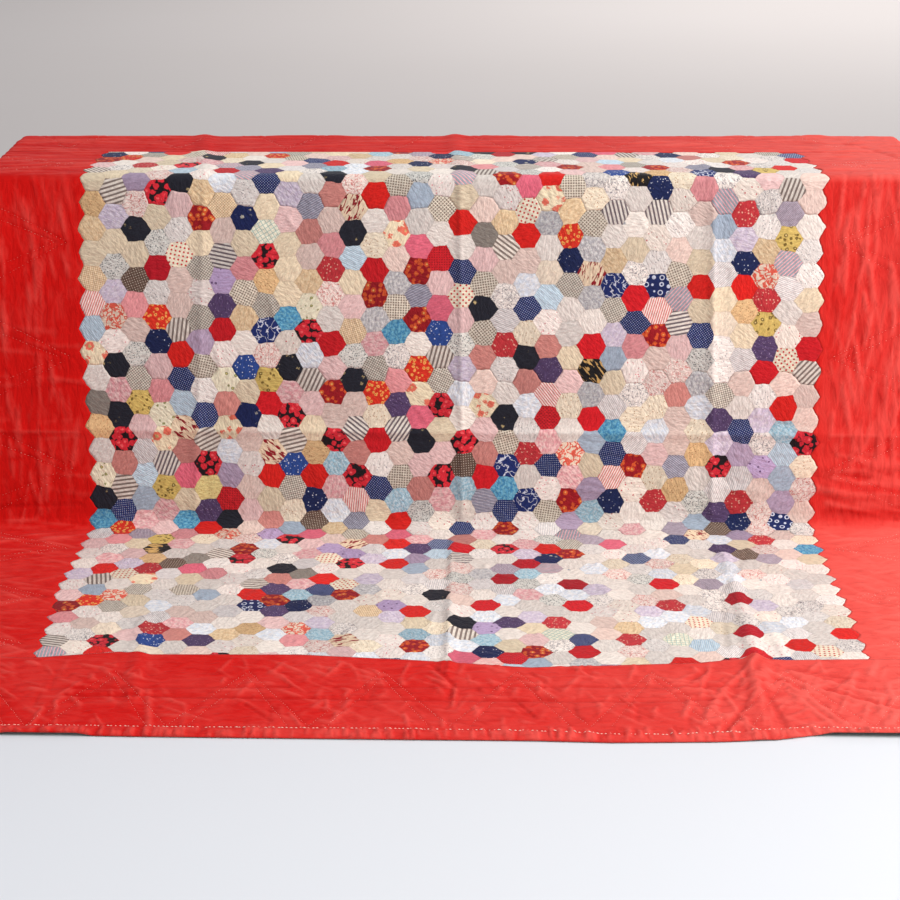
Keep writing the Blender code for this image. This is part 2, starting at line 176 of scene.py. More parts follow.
# Small puckers of each cloth: across low and high, along low and high, count, direction in
# degrees from across, spread of it, length low and high, height low and high, half width.
# The lengths are in millimetres.
PUCKERS = {
    "border": (
        (775, 975, 10, 600, 165, 90, 13, 40, 150, 1.2, 4, 7.5),
        (-940, -775, 10, 700, 110, 90, 12, 50, 180, 0.8, 2.2, 7),
        (-940, -775, 300, 740, 26, 0, 9, 60, 160, 0.6, 1.6, 8),
        (775, 975, 560, 730, 26, 8, 12, 70, 180, 1.2, 3, 10),
        (755, 970, -410, -20, 90, 4, 12, 60, 200, 1, 3, 8),
        (-940, -740, -410, -20, 60, 0, 9, 80, 240, 1.2, 3, 12),
        (-920, 960, -410, -240, 190, 0, 12, 50, 200, 0.8, 2.8, 8),
        (-900, 930, -510, -430, 60, 88, 10, 30, 80, 0.8, 2, 8),
        (-1035, -960, -400, 600, 60, 0, 12, 30, 80, 0.6, 1.8, 8),
        (990, 1035, -400, 600, 60, 0, 12, 30, 80, 0.6, 1.8, 8),
        (775, 1020, 760, 1350, 200, 8, 50, 30, 120, 0.8, 2.6, 7),
        (-1020, -775, 760, 1350, 150, 4, 34, 40, 140, 0.8, 2.4, 7),
        (-1020, 1020, 1365, 1590, 520, 60, 60, 25, 100, 0.9, 3, 7),
        (400, 1000, 1380, 1590, 110, 125, 30, 40, 120, 1.4, 3.6, 8),
        (-1030, 1030, 1612, 1640, 420, 90, 10, 30, 50, 1.4, 3.6, 4.8),
    ),
    "patchwork": (
        (-730, 730, -220, 0, 260, 0, 40, 25, 80, 0.4, 1.4, 6.5),
        (-730, 730, 0, 720, 900, 80, 45, 25, 70, 0.5, 1.8, 6.2),
        (-730, 730, 720, 1340, 820, 70, 60, 25, 70, 0.6, 2.4, 6.5),
        (250, 730, 500, 720, 60, 12, 16, 50, 140, 0.8, 2, 9),
    ),
}

# The lowest and highest place on the face, the share of puckers that stand up, and how deep
# the others sink for their height
PUCKER_LIMITS = (-0.0028, 0.0045)
RAISED_SHARE = 0.72
SUNK_DEPTH = 0.6

# Hand quilting on the border, in pairs of chevron lines. The gap lies between the two of a
# pair, and the rows are the chevrons' tips and feet, front and back.
CHEVRON_PITCH = 0.236
CHEVRON_GAP = 0.034
CHEVRON_INSET = 0.7
CHEVRON_ROWS = ((1.395, 1.598), (PATCH_BACK - 0.050, QUILT_BACK + 0.045))
CHEVRON_SIDES = (TIP_HALF_WIDTH + 0.022, QUILT_HALF_WIDTH - HEM_TURN - 0.008)
CHEVRON_FRONT = 1.37
CHEVRONS_ALONG = int((1.34 - PATCH_BACK) / CHEVRON_PITCH) + 1

# How deep a stitched line sinks, how far to each side the face goes down with it, and how far
# a stitch strays from it; how much the turned hem raises the face, and over what width
STITCH_SINK = 0.0009
HEM_SINK_WIDTH = 0.0045
QUILT_SINK_WIDTH = 0.0050
STITCH_STRAY = 0.0012
HEM_RISE = 0.0005
HEM_RISE_WIDTH = 0.004

# A stitch's triangles between its two ends, its two sides, its top and its bottom
SPINDLE = ((4, 2, 0), (4, 1, 2), (4, 3, 1), (4, 0, 3), (5, 0, 2), (5, 2, 1), (5, 1, 3), (5, 3, 0))

# Every cotton in the patchwork, by group: how it is printed, how often it is used, and its
# colours (red, green and blue out of 255). A print has its pitch in centimetres and the
# marks' share of it too.
FABRICS = (
    ("pale", (
        ("white_plain", "plain", 9, ((238, 229, 220), (225, 216, 207))),
        ("cream_plain", "plain", 7, ((239, 223, 194), (224, 204, 172))),
        ("blush_plain", "plain", 10, ((238, 214, 202), (222, 194, 182))),
        ("white_grey_sprig", "sprig", 6, ((238, 231, 224), (132, 130, 134)), 0.5, 0.2),
        ("white_pink_sprig", "sprig", 6, ((240, 229, 221), (218, 126, 132)), 0.7, 0.2),
        ("white_rose_sprig", "sprig", 4, ((239, 227, 214), (196, 70, 76)), 0.85, 0.18),
        ("cream_brown_sprig", "sprig", 5, ((241, 227, 202), (184, 136, 92)), 0.5, 0.22),
        ("white_fine_stripe", "stripe", 3.5, ((238, 231, 226), (184, 180, 184)), 0.36, 0.28),
        ("white_vine", "vine", 4, ((239, 231, 223), (150, 144, 146)), 0.85, 0.1),
        ("blush_vine", "vine", 4, ((240, 222, 212), (210, 132, 126)), 0.9, 0.1),
        ("white_blot", "sprig", 3, ((239, 230, 220), (150, 158, 166)), 3, 0.1),
        ("cream_blot", "sprig", 2, ((238, 222, 200), (120, 140, 146)), 3.4, 0.1),
        ("ice_blue", "mottled", 3, ((220, 228, 238), (240, 240, 240)), 0.9, 0.5),
        ("cream_green_plaid", "plaid", 0.8, ((238, 233, 210), (166, 190, 180)), 0.8, 0.18),
    )),
    ("grey", (
        ("grey_speckle", "sprig", 4.4, ((220, 218, 210), (84, 90, 92)), 0.32, 0.34),
        ("grey_mottled", "mottled", 2, ((206, 204, 202), (168, 166, 170)), 0.6, 0.5),
        ("grey_plain", "plain", 0.8, ((152, 143, 132), (136, 128, 120))),
        ("slate_stripe", "stripe", 1.2, ((122, 122, 142), (206, 201, 210)), 0.32, 0.34),
        ("grey_pink_stripe", "stripe", 1.2, ((160, 164, 172), (236, 176, 182)), 0.6, 0.34),
    )),
    ("pale", (
        ("cream_dot", "dot", 0.7, ((243, 231, 206), (200, 52, 48)), 0.85, 0.24),
    )),
    ("pink", (
        ("pink_plain", "plain", 3.6, ((232, 160, 160), (220, 138, 144))),
        ("rose_plain", "plain", 2.4, ((230, 112, 132), (218, 98, 120))),
        ("dusty_pink", "plain", 4.4, ((210, 142, 132), (198, 126, 118))),
        ("pink_mottled", "mottled", 5, ((238, 200, 196), (226, 160, 164)), 0.8, 0.5),
        ("shell_pink", "plain", 6, ((238, 204, 200), (228, 188, 186))),
        ("pink_stripe", "stripe", 1.8, ((242, 220, 210), (214, 88, 94)), 0.46, 0.36),
        ("coral_print", "vine", 1.8, ((242, 219, 196), (230, 96, 76)), 1.2, 0.26),
    )),
    ("red", (
        ("turkey_red", "plain", 3.8, ((212, 24, 34), (198, 18, 30))),
        ("bright_red", "plain", 4, ((228, 34, 24), (216, 26, 22))),
        ("deep_red", "plain", 2, ((182, 16, 34), (166, 12, 30))),
        ("red_black_dot", "dot", 0.8, ((202, 28, 38), (60, 12, 20)), 0.5, 0.18),
        ("red_print", "sprig", 1, ((194, 52, 58), (234, 178, 156)), 0.6, 0.26),
    )),
    ("navy", (
        ("navy_pin_dot", "dot", 2.8, ((28, 42, 98), (206, 214, 236)), 0.4, 0.17),
        ("navy_sprig", "sprig", 1.8, ((22, 34, 78), (214, 218, 232)), 0.66, 0.18),
        ("navy_ring", "ring", 0.7, ((26, 40, 94), (214, 220, 238)), 1.5, 0.3),
        ("navy_check", "check", 0.7, ((36, 50, 102), (176, 188, 214)), 0.46, 0.26),
        ("navy_stroke", "vine", 1, ((28, 44, 106), (216, 220, 234)), 1.8, 0.09),
        ("navy_blot", "sprig", 1, ((22, 34, 84), (200, 196, 178)), 1.7, 0.2),
        ("blue_print", "sprig", 1, ((42, 72, 142), (224, 230, 242)), 0.55, 0.24),
    )),
    ("lilac", (
        ("lilac_plain", "plain", 2.6, ((182, 162, 184), (168, 148, 174))),
        ("lilac_floral", "floral", 1.4,
         ((190, 166, 204), (96, 66, 108), (214, 196, 224)), 1.1, 0.2),
        ("mauve_stripe", "stripe", 1.6, ((190, 176, 186), (152, 136, 154)), 0.3, 0.36),
        ("plum_sprig", "sprig", 1.2, ((84, 64, 102), (150, 132, 164)), 0.45, 0.22),
        ("lavender_pale", "mottled", 3, ((222, 211, 222), (204, 190, 210)), 0.8, 0.5),
    )),
    ("blue", (
        ("turquoise", "mottled", 1.1, ((62, 134, 180), (116, 180, 204)), 0.55, 0.5),
        ("sky_stripe", "stripe", 2.6, ((176, 204, 222), (218, 229, 234)), 0.36, 0.4),
        ("sky_mottled", "mottled", 1.8, ((188, 210, 218), (144, 184, 202)), 0.5, 0.5),
        ("grey_blue", "plain", 2, ((180, 194, 208), (158, 174, 192))),
    )),
    ("dark", (
        ("black_red_floral", "petal", 3, ((26, 14, 18), (216, 40, 54), (244, 98, 100)), 1.2, 0.6),
        ("black_gold_brush", "brush", 0.9, ((24, 21, 22), (212, 172, 106)), 1.5, 0.46),
        ("black_plain", "sprig", 3.6, ((32, 33, 44), (208, 184, 130)), 2.1, 0.15),
    )),
    ("brown", (
        ("brown_dot", "dot", 0.7, ((104, 82, 70), (214, 200, 182)), 0.5, 0.18),
        ("brown_check", "check", 2.4, ((222, 214, 200), (96, 84, 72)), 0.44, 0.34),
        ("brown_stripe", "stripe", 2.4, ((228, 218, 206), (132, 118, 110)), 0.86, 0.46),
        ("grey_dark_stripe", "stripe", 0.9, ((224, 216, 206), (112, 100, 104)), 0.8, 0.46),
        ("brown_plaid", "plaid", 2.6, ((118, 100, 84), (230, 220, 202)), 0.52, 0.34),
    )),
    ("rich", (
        ("maroon_gold", "floral", 2.8, ((152, 18, 28), (208, 84, 40), (226, 166, 90)), 1.1, 0.46),
        ("red_yellow", "floral", 1.8, ((216, 48, 30), (238, 164, 84), (200, 112, 58)), 0.8, 0.4),
        ("cream_maroon", "brush", 1.3, ((240, 216, 184), (150, 24, 38)), 1.3, 0.46),
        ("cream_rose_floral", "floral", 1.4,
         ((242, 226, 192), (232, 116, 94), (198, 184, 120)), 2.3, 0.4),
    )),
    ("tan", (
        ("tan_sprig", "sprig", 2.2, ((226, 188, 138), (172, 112, 68)), 0.36, 0.26),
        ("tan_plain", "mottled", 1.6, ((232, 207, 168), (218, 186, 146)), 0.7, 0.5),
        ("tan_check", "check", 0.8, ((238, 217, 182), (186, 132, 80)), 0.4, 0.26),
        ("mustard_floral", "floral", 1,
         ((212, 184, 104), (122, 100, 46), (238, 218, 150)), 1.1, 0.34),
        ("yellow_small", "sprig", 0.5, ((240, 220, 150), (208, 166, 86)), 0.4, 0.24),
        ("green_floral", "floral", 1.1,
         ((232, 225, 198), (138, 140, 92), (218, 198, 130)), 1.1, 0.28),
    )),
)
COTTONS = [(group, *row) for group, rows in FABRICS for row in rows]

# Where a group or a cotton was used more or less often: across, along, reach across and reach
# along in centimetres, and how many times as often there
USED_MORE = {
    "pale": (
        (0, 35, 200, 60, 0.62), (-45, 50, 35, 25, 0.35), (50, 110, 55, 40, 1.6),
        (62, 60, 32, 120, 2.6), (10, 115, 110, 38, 1.7),
    ),
    "red": (
        (0, 35, 200, 60, 1.5), (-45, 58, 30, 18, 1.1), (62, 60, 30, 80, 0.7),
        (5, 46, 35, 18, 1.4), (55, 15, 25, 20, 1.8), (45, 110, 35, 30, 2.6),
        (-10, 15, 50, 20, 0.6), (10, 110, 80, 34, 1.5), (-60, 10, 20, 25, 0.5),
        (0, 133, 80, 5, 2.5),
    ),
    "navy": (
        (0, 35, 200, 60, 1.8), (62, 60, 30, 80, 0.7), (0, 110, 70, 34, 1.4),
        (0, 133, 80, 6, 4.5), (35, 20, 25, 20, 1.4),
    ),
    "rich": (
        (0, 35, 200, 60, 2), (50, 110, 60, 40, 0.4), (66, 60, 18, 90, 0.3),
        (-10, 25, 45, 34, 2),
    ),
    "tan": (
        (0, 20, 200, 45, 2), (30, 110, 90, 35, 0.15), (0, -12, 150, 14, 0.5),
        (-45, 15, 30, 20, 1.6), (60, 30, 22, 45, 1.7), (-66, 20, 16, 40, 1.7),
        (0, 50, 35, 35, 0.2),
    ),
    "cream_plain": (
        (0, 15, 200, 30, 2.2), (20, 110, 90, 35, 0.15), (-40, 30, 35, 30, 1.8),
        (-45, 15, 35, 25, 1.6),
    ),
    "dusty_pink": ((-20, 45, 70, 25, 1.8),),
    "brown": (
        (0, 35, 200, 60, 1.9), (-50, 55, 28, 25, 2.2), (-10, 40, 45, 30, 1.8),
        (60, 70, 25, 80, 0.3), (0, 12, 50, 20, 1.6), (0, 120, 100, 25, 0.4),
    ),
    "dark": (
        (0, 35, 200, 60, 2.4), (-40, 58, 30, 18, 2.6), (50, 110, 60, 40, 0.4),
        (60, 55, 20, 90, 0.2), (-62, 20, 16, 60, 0.3),
    ),
    "pink": (
        (50, 110, 60, 40, 0.35), (-10, 50, 60, 25, 1.8), (0, 15, 40, 18, 0.4),
        (60, 60, 25, 100, 0.35),
    ),
    "blush_plain": ((40, 110, 90, 35, 0.25), (-45, 35, 30, 30, 1.6)),
    "cream_brown_sprig": ((40, 110, 70, 35, 0.25),),
    "cream_blot": ((50, 110, 60, 35, 0.25),),
    "blush_vine": ((50, 110, 60, 35, 0.5),),
    "lilac_floral": ((40, 110, 60, 35, 2.4),),
    "white_plain": ((40, 110, 90, 35, 2.6), (0, -10, 120, 16, 2.5)),
    "ice_blue": ((40, 110, 90, 35, 4),),
    "lavender_pale": ((40, 110, 90, 35, 3),),
    "white_fine_stripe": ((40, 110, 90, 35, 1.8),),
    "grey_speckle": ((-20, 45, 35, 25, 1.8),),
    "grey": ((0, 15, 60, 20, 1.6), (10, 45, 35, 40, 1.5)),
    "blue": ((-45, 15, 35, 25, 0.35), (-66, 45, 14, 45, 1.5)),
    "lilac": ((60, 50, 22, 80, 2.6), (-68, 30, 14, 50, 2.8), (0, 35, 48, 60, 0.1)),
    "navy_pin_dot": ((60, 40, 25, 60, 2.2),),
    "black_red_floral": (
        (-33, 42, 16, 20, 5), (2, 50, 24, 16, 5), (-10, 95, 35, 16, 7), (10, 5, 60, 20, 0.1),
    ),
    "maroon_gold": ((-15, 50, 30, 20, 2),),
}

# Rows of hexagons that belong to each length of the patchwork
LENGTHS = (
    ("patchwork_top", -6, -1),
    ("patchwork_upper_drop", 0, 6),
    ("patchwork_lower_drop", 7, 13),
    ("patchwork_floor", 14, 27),
)

# Groups of strong colour that seldom lie side by side, and how often the same cotton or one
# of the same family comes next to the last
STRONG_FAMILIES = (("red", "rich", "dark"), ("navy", "dark"), ("brown",))
SAME_AGAIN = 0.15
LIKE_AGAIN = 0.3
PRINT_SLIDE = 30

# How finely the cloth is divided: a hexagon's side, and the border's columns and rows
SUBDIVISIONS = 6
SIDE_COLUMNS = 62
CROSS_GRIDS = {"back": (330, 60), "front": (600, 66)}
DRAW_SEED = 1907
PUCKER_SEED = 53

# How far from a seam the face sinks, as a share of a hexagon, and the depths of darkest painted
# shade
SEAM_REACH = 0.20
PATCH_DIP = 0.0018
BORDER_DIP = 0.002

# Large soft lights: name, place, what each looks at, size and tint
LIGHTS = (
    ("key", (3.6, -1.9, 2.6), (0.0, -0.1, 0.4), 2.2, (1.0, 0.975, 0.955)),
    ("top", (0.8, -0.7, 6.0), (0.1, -0.4, 0.0), 4.5, (1.0, 0.99, 0.98)),
    ("far", (3.0, 9.0, 5.0), (1.2, 9.0, 0.0), 6.0, (1.0, 0.97, 0.95)),
)
CAMERA_TURN = 0.0038
FLOOR_HALF = 40.0
FLOOR_DROP = -0.0004

TABLE_NODES = ("table_top", "leg_front_left", "leg_front_right", "leg_back_left",
               "leg_back_right", "rail_front", "rail_back", "rail_left", "rail_right")


def linear(rgb):
    """Red, green and blue out of 255, as the shader takes them."""
    shares = [value / 255 for value in rgb]
    return [s / 12.92 if s <= 0.04045 else ((s + 0.055) / 1.055) ** 2.4 for s in shares]


def colour(rgb):
    """The same with full cover."""
    return linear(rgb) + [1.0]


def length_setting(name, description, default, least, most):
    """A length in the panel."""
    return bpy.props.FloatProperty(name=name, description=description, default=default,
                                   min=least, max=most, subtype="DISTANCE", unit="LENGTH")


def colour_setting(name, description, rgb):
    """A colour in the panel, given as red, green and blue out of 255."""
    return bpy.props.FloatVectorProperty(name=name, description=description,
                                         default=linear(rgb), size=3, min=0.0, max=1.0,
                                         subtype="COLOR")


def power_setting(name, description, default):
    """A light's power in the panel."""
    return bpy.props.FloatProperty(name=name, description=description, default=default,
                                   min=0.0, unit="POWER")


class QuiltSettings(bpy.types.PropertyGroup):
    """Sizes and colours of the cloth."""
    patch_puff: length_setting(
        "Patch puff", "How far the middle of a patch stands up", 0.0005, 0.0, 0.004)
    seam_depth: length_setting(
        "Seam depth", "How far a seam sinks into the face", 0.00012, 0.0, 0.002)
    pucker_share: bpy.props.FloatProperty(
        name="Puckers", description="How strongly the cloth is puckered",
        default=1.0, min=0.0, max=2.0, subtype="FACTOR")
    stitch_length: length_setting(
        "Stitch length", "Length of one running stitch", 0.0034, 0.001, 0.01)
    stitch_pitch: length_setting(
        "Stitch pitch", "From one running stitch to the next", 0.0072, 0.002, 0.02)
    thread_width: length_setting(
        "Thread width", "Thickness of the quilting thread", 0.0008, 0.0002, 0.002)
    red: colour_setting("Border red", "Colour of the border cotton", (209, 18, 14))
    # The faded red shows real wear and is also mixed in as painted highlight on the right and on
    # the top and floor.
    faded_and_highlit_red: colour_setting(
        "Faded red", "Colour of the border cotton where it has worn", (238, 96, 86))
    thread: colour_setting("Thread", "Colour of the quilting thread", (240, 200, 182))
    backing: colour_setting("Backing", "Colour of the backing cotton", (110, 114, 96))


class StageSettings(bpy.types.PropertyGroup):
    """The table's wood, the floor, the light and the camera."""
    wood: colour_setting("Table wood", "Colour of the table's pale wood", (196, 164, 126))
    floor: colour_setting("Floor", "Colour of the floor in front", (219, 222, 226))
    far_floor: colour_setting(
        "Far floor", "Colour of the floor behind the table", (193, 187, 184))
    key_power: power_setting("Key light", "Power of the large light at the right", 153.0)
    top_power: power_setting("Top light", "Power of the large light overhead", 130.0)
    far_power: power_setting("Far light", "Power of the light over the far floor", 420.0)
    sky: bpy.props.FloatProperty(
        name="Room light", description="Strength of the even light of the room",
        default=0.50, min=0.0)
    lens: bpy.props.FloatProperty(
        name="Lens", description="Focal length of the camera in millimetres",
        default=78.46, min=10.0, max=300.0)
    camera_place: bpy.props.FloatVectorProperty(
        name="Camera", description="Where the camera stands",
        default=(0.0123, -3.613, 1.555), size=3, subtype="TRANSLATION", unit="LENGTH")
    camera_pitch: bpy.props.FloatProperty(
        name="Camera pitch", description="How far the camera looks down",
        default=math.radians(20.05), subtype="ANGLE", unit="ROTATION")


def smooth_step(value):
    """Rise from 0 to 1 with level ends."""
    held = np.clip(value, 0.0, 1.0)
    return held * held * (3.0 - 2.0 * held)


def corner_fall(out, ahead, lean):
    """How the cloth hangs beyond a table corner: outward, forward and down from it."""
    reach = np.hypot(out, ahead)
    turn = np.arctan2(out, ahead)
    whole = math.pi / 2 - lean
    swing = math.pi * np.clip(turn / whole, 0.0, 1.0)
    along = whole * EAR_TILT_SHARE * np.sin(swing)
    aside = whole * EAR_TILT_SHARE * EAR_FULLNESS * np.sin(2 * swing)
    a = (along - aside) / math.sqrt(2)
    b = (along + aside) / math.sqrt(2) - np.clip(turn - whole, 0.0, lean)
    tilt = np.hypot(a, b)
    level = reach * np.sinc(tilt / math.pi)
    down = reach * np.cos(tilt)
    neck = EAR_NECK * smooth_step(reach / EAR_NECK_REACH)
    share = smooth_step(turn / (math.pi / 2))
    outward = level * a + neck * share
    forward = down * math.sin(lean) + level * b * math.cos(lean) + neck * (1 - share)
    fall = down * math.cos(lean) - level * b * math.sin(lean)
    return outward, forward, fall


def front_fall(ahead):
    """Down the leaning front and on across the floor: forward and down from the table's edge."""
    hanging = np.minimum(ahead, DROP)
    forward = hanging * math.sin(LEAN) + np.maximum(ahead - DROP, 0.0)
    return forward, hanging * math.cos(LEAN)


def hang(across, along):
    """The cloth's middle surface with sharp folds, for flat quilt measures."""
    inner = np.clip(across, FOLD_LEFT, FOLD_RIGHT)
    side = np.where(across > 0, 1.0, -1.0)
    out = np.abs(across - inner)
    to_end = np.minimum(inner - FOLD_LEFT, FOLD_RIGHT - inner)
    ahead = np.maximum(along, 0.0)
    behind = np.maximum(-FOLD_DEPTH - along, 0.0)
    near_end = EAR_NECK * np.exp(-(to_end / EAR_NECK_SPREAD) ** 2)

    x = inner
    y = -np.clip(along, -FOLD_DEPTH, 0.0)
    z = np.full(np.shape(x), TOP_LEVEL)

    forward, fall = front_fall(ahead)
    flat = smooth_step((ahead - EAR_ENDS[0]) / (EAR_ENDS[1] - EAR_ENDS[0]))
    bulge = near_end * smooth_step(ahead / EAR_NECK_REACH) * (1 - flat)
    ear_out, ear_forward, ear_fall = corner_fall(out, ahead, LEAN)
    in_front = along > 0
    off_end = out > 0
    front_out = np.where(off_end, ear_out * (1 - flat) + out * flat, 0.0)
    front_forward = np.where(off_end, ear_forward * (1 - flat) + forward * flat, forward + bulge)
    front_down = np.where(off_end, ear_fall * (1 - flat) + fall * flat, fall)

    back_out, back_forward, back_fall = corner_fall(out, behind, 0.0)
    in_back = behind > 0
    back_bulge = near_end * smooth_step(behind / EAR_NECK_REACH)
    back_out = np.where(off_end, back_out, 0.0)
    back_forward = np.where(off_end, back_forward, back_bulge)
    back_down = np.where(off_end, back_fall, behind)

    to_corner = np.minimum(np.maximum(-along, 0.0), np.maximum(along + FOLD_DEPTH, 0.0))
    end_bulge = EAR_NECK * np.exp(-(to_corner / EAR_NECK_SPREAD) ** 2)
    end_out = end_bulge * smooth_step(out / EAR_NECK_REACH)

    x = x + side * np.where(in_front, front_out, np.where(in_back, back_out, end_out))
    y = y + np.where(in_front, -front_forward, np.where(in_back, back_forward, 0.0))
    z = z - np.where(in_front, front_down, np.where(in_back, back_down, out))
    return np.stack((x, y, z), axis=-1)


def soft_hang(across, along):
    """The same surface with its folds rounded, by the mean of the places around each point."""
    bend = np.exp(-((along - DROP) / (3 * FLOOR_SOFT)) ** 2)
    soft = EDGE_SOFT + (FLOOR_SOFT - EDGE_SOFT) * bend
    total = 0.0
    for step_across, weight_across in ((-1, 1), (-0.5, 2), (0, 2), (0.5, 2), (1, 1)):
        for step_along, weight_along in ((-1, 1), (-0.5, 2), (0, 2), (0.5, 2), (1, 1)):
            weight = weight_across * weight_along / 64
            total = total + weight * hang(across + soft * step_across, along + soft * step_along)
    return total


def ridge(across, along, line, ends=True):
    """A soft ridge along one line, from 0 at its edges to 1 on it."""
    x0, y0, x1, y1, half_width = line
    length = math.hypot(x1 - x0, y1 - y0)
    dx = (x1 - x0) / length
    dy = (y1 - y0) / length
    run = (across - x0) * dx + (along - y0) * dy
    off = np.abs((across - x0) * dy - (along - y0) * dx)
    if ends:
        past = np.maximum(np.maximum(-run, run - length), 0.0)
        return smooth_step(1 - np.hypot(off, past) / half_width)
    taper = np.clip(4 * (run / length) * (1 - run / length), 0.0, 1.0)
    return smooth_step(1 - off / half_width) * taper


def fold_height(across, along):
    """How far creases and drag folds stand up from the hung surface."""
    height = np.zeros(np.shape(across))
    for x0, y0, x1, y1, rise, end_rise, half_width in FOLDS:
        shape = ridge(across, along, (x0, y0, x1, y1, half_width))
        run = (across - x0) * (x1 - x0) + (along - y0) * (y1 - y0)
        share = np.clip(run / ((x1 - x0) ** 2 + (y1 - y0) ** 2), 0.0, 1.0)
        height = np.maximum(height, (rise + (end_rise - rise) * share) * shape)
    return height


def surface(across, along):
    """Points of the cloth's middle surface in the frame, and the way its face looks there."""
    step = 0.002
    points = soft_hang(across, along)
    by_across = soft_hang(across + step, along) - soft_hang(across - step, along)
    by_along = soft_hang(across, along + step) - soft_hang(across, along - step)
    normals = np.cross(by_along, by_across)
    normals /= np.linalg.norm(normals, axis=-1, keepdims=True)
    raised = points + normals * fold_height(across, along)[..., None]
    return raised + PLACE, normals


def made_puckers(cloth):
    """Every pucker of one cloth: the line, its height and its half width."""
    draws = np.random.default_rng(PUCKER_SEED)
    found = []
    for kind, rows in PUCKERS.items():
        for row in rows:
            low_x, high_x, low_y, high_y = (value / 1000 for value in row[:4])
            count, angle, spread = row[4:7]
            short, long, least, most, half_width = (value / 1000 for value in row[7:])
            for x, y, share, size, turn, broad, up in draws.random((count, 7)):
                half = (short + (long - short) * size) / 2
                way = math.radians(angle + spread * (2 * turn - 1))
                cx = low_x + (high_x - low_x) * x
                cy = low_y + (high_y - low_y) * y
                dx = math.cos(way) * half
                dy = math.sin(way) * half
                rise = least + (most - least) * share ** 2
                rise *= 1.0 if up < RAISED_SHARE else -SUNK_DEPTH
                if kind == cloth:
                    found.append((cx - dx, cy - dy, cx + dx, cy + dy, rise,
                                  half_width * (0.7 + 0.7 * broad)))
    return found


def pucker_height(across, along, cloth, share):
    """The height of the small puckers and pressed lines over the sheet's face."""
    order = np.argsort(along, kind="stable")
    sorted_across = across[order]
    sorted_along = along[order]
    height = np.zeros(len(along))
    lines = [(line, False) for line in made_puckers(cloth)]
    lines += [(line, True) for line in PRESSED]
    for (x0, y0, x1, y1, rise, half_width), whole in lines:
        first = np.searchsorted(sorted_along, min(y0, y1) - half_width)
        last = np.searchsorted(sorted_along, max(y0, y1) + half_width)
        part = slice(first, last)
        height[part] += rise * ridge(sorted_across[part], sorted_along[part],
                                     (x0, y0, x1, y1, half_width), whole)
    given = np.empty(len(along))
    given[order] = height
    return share * np.clip(given, *PUCKER_LIMITS)


def corner_stray(right, row):
    """How far the hand piecing moves a place on the hexagon lattice."""
    steps_b = 2 * row
    steps_a = right / HEX_SIDE - steps_b / 2
    whole_a = np.floor(steps_a + 1e-6).astype(int)
    whole_b = np.floor(steps_b + 1e-6).astype(int)
    part_a = steps_a - whole_a
    part_b = steps_b - whole_b
    table = np.random.default_rng(DRAW_SEED).uniform(-1, 1, (STRAY_SPOTS, STRAY_SPOTS, 2))

    def moved(a, b):
        is_corner = (2 * a + b) % 3 != 0
        return table[a % STRAY_SPOTS, b % STRAY_SPOTS] * (CORNER_STRAY * is_corner)[..., None]

    upper = part_a + part_b > 1
    near = np.where(upper, part_a + part_b - 1, 1 - part_a - part_b)[..., None]
    by_a = np.where(upper, 1 - part_b, part_a)[..., None]
    by_b = np.where(upper, 1 - part_a, part_b)[..., None]
    corner = np.where(upper[..., None], moved(whole_a + 1, whole_b + 1), moved(whole_a, whole_b))
    wave = SEAM_WAVE * np.stack((np.sin(260 * right + 7 * row) * np.cos(9.0 * row),
                                 np.sin(11.0 * row - 90 * right) * np.cos(230 * right)), axis=-1)
    return (near * corner + by_a * moved(whole_a + 1, whole_b)
            + by_b * moved(whole_a, whole_b + 1) + wave)


def lattice_place(right, row):
    """Flat quilt measures of a place on the hexagon lattice.

    right is the distance from the first column's middle, and row counts hexagons along it.
    """
    stray = corner_stray(right, row)
    share = right / ((COLUMNS - 1) * COLUMN_PITCH)
    left_along = TIPS["left"]["first"] + TIPS["left"]["pitch"] * row
    right_along = TIPS["right"]["first"] + TIPS["right"]["pitch"] * (row + 0.5)
    along = left_along * (1 - share) + right_along * share
    across = right - (COLUMNS - 1) * COLUMN_PITCH / 2
    held = np.clip(share, 0.0, 1.0)
    left_stray = np.interp(along, SIDE_STRAY[:, 0], SIDE_STRAY[:, 1])
    right_stray = np.interp(along, SIDE_STRAY[:, 0], SIDE_STRAY[:, 2])
    across = across - left_stray * (1 - held) + right_stray * held
    past_left = np.clip(-right / HEX_SIDE, 0.0, 1.0) ** 2
    past_right = np.clip(right / HEX_SIDE - 1.5 * (COLUMNS - 1), 0.0, 1.0) ** 2
    at_left = smooth_step(1 - 4.4 * np.abs(row - np.round(row)))
    at_right = smooth_step(1 - 4.4 * np.abs(row + 0.5 - np.round(row + 0.5)))
    across = across + TIP_ROUND * (past_left * at_left - past_right * at_right)
    return across + stray[..., 0], along + stray[..., 1]


def front_seam(across):
    """Along measure of the patchwork's front seam."""
    return PATCH_FRONT + np.interp(across, FRONT_STRAY[:, 0], FRONT_STRAY[:, 1])


def front_hem(across):
    """Along measure of the quilt's front hem."""
    return QUILT_FRONT + np.interp(across, FRONT_STRAY[:, 0], FRONT_STRAY[:, 2])


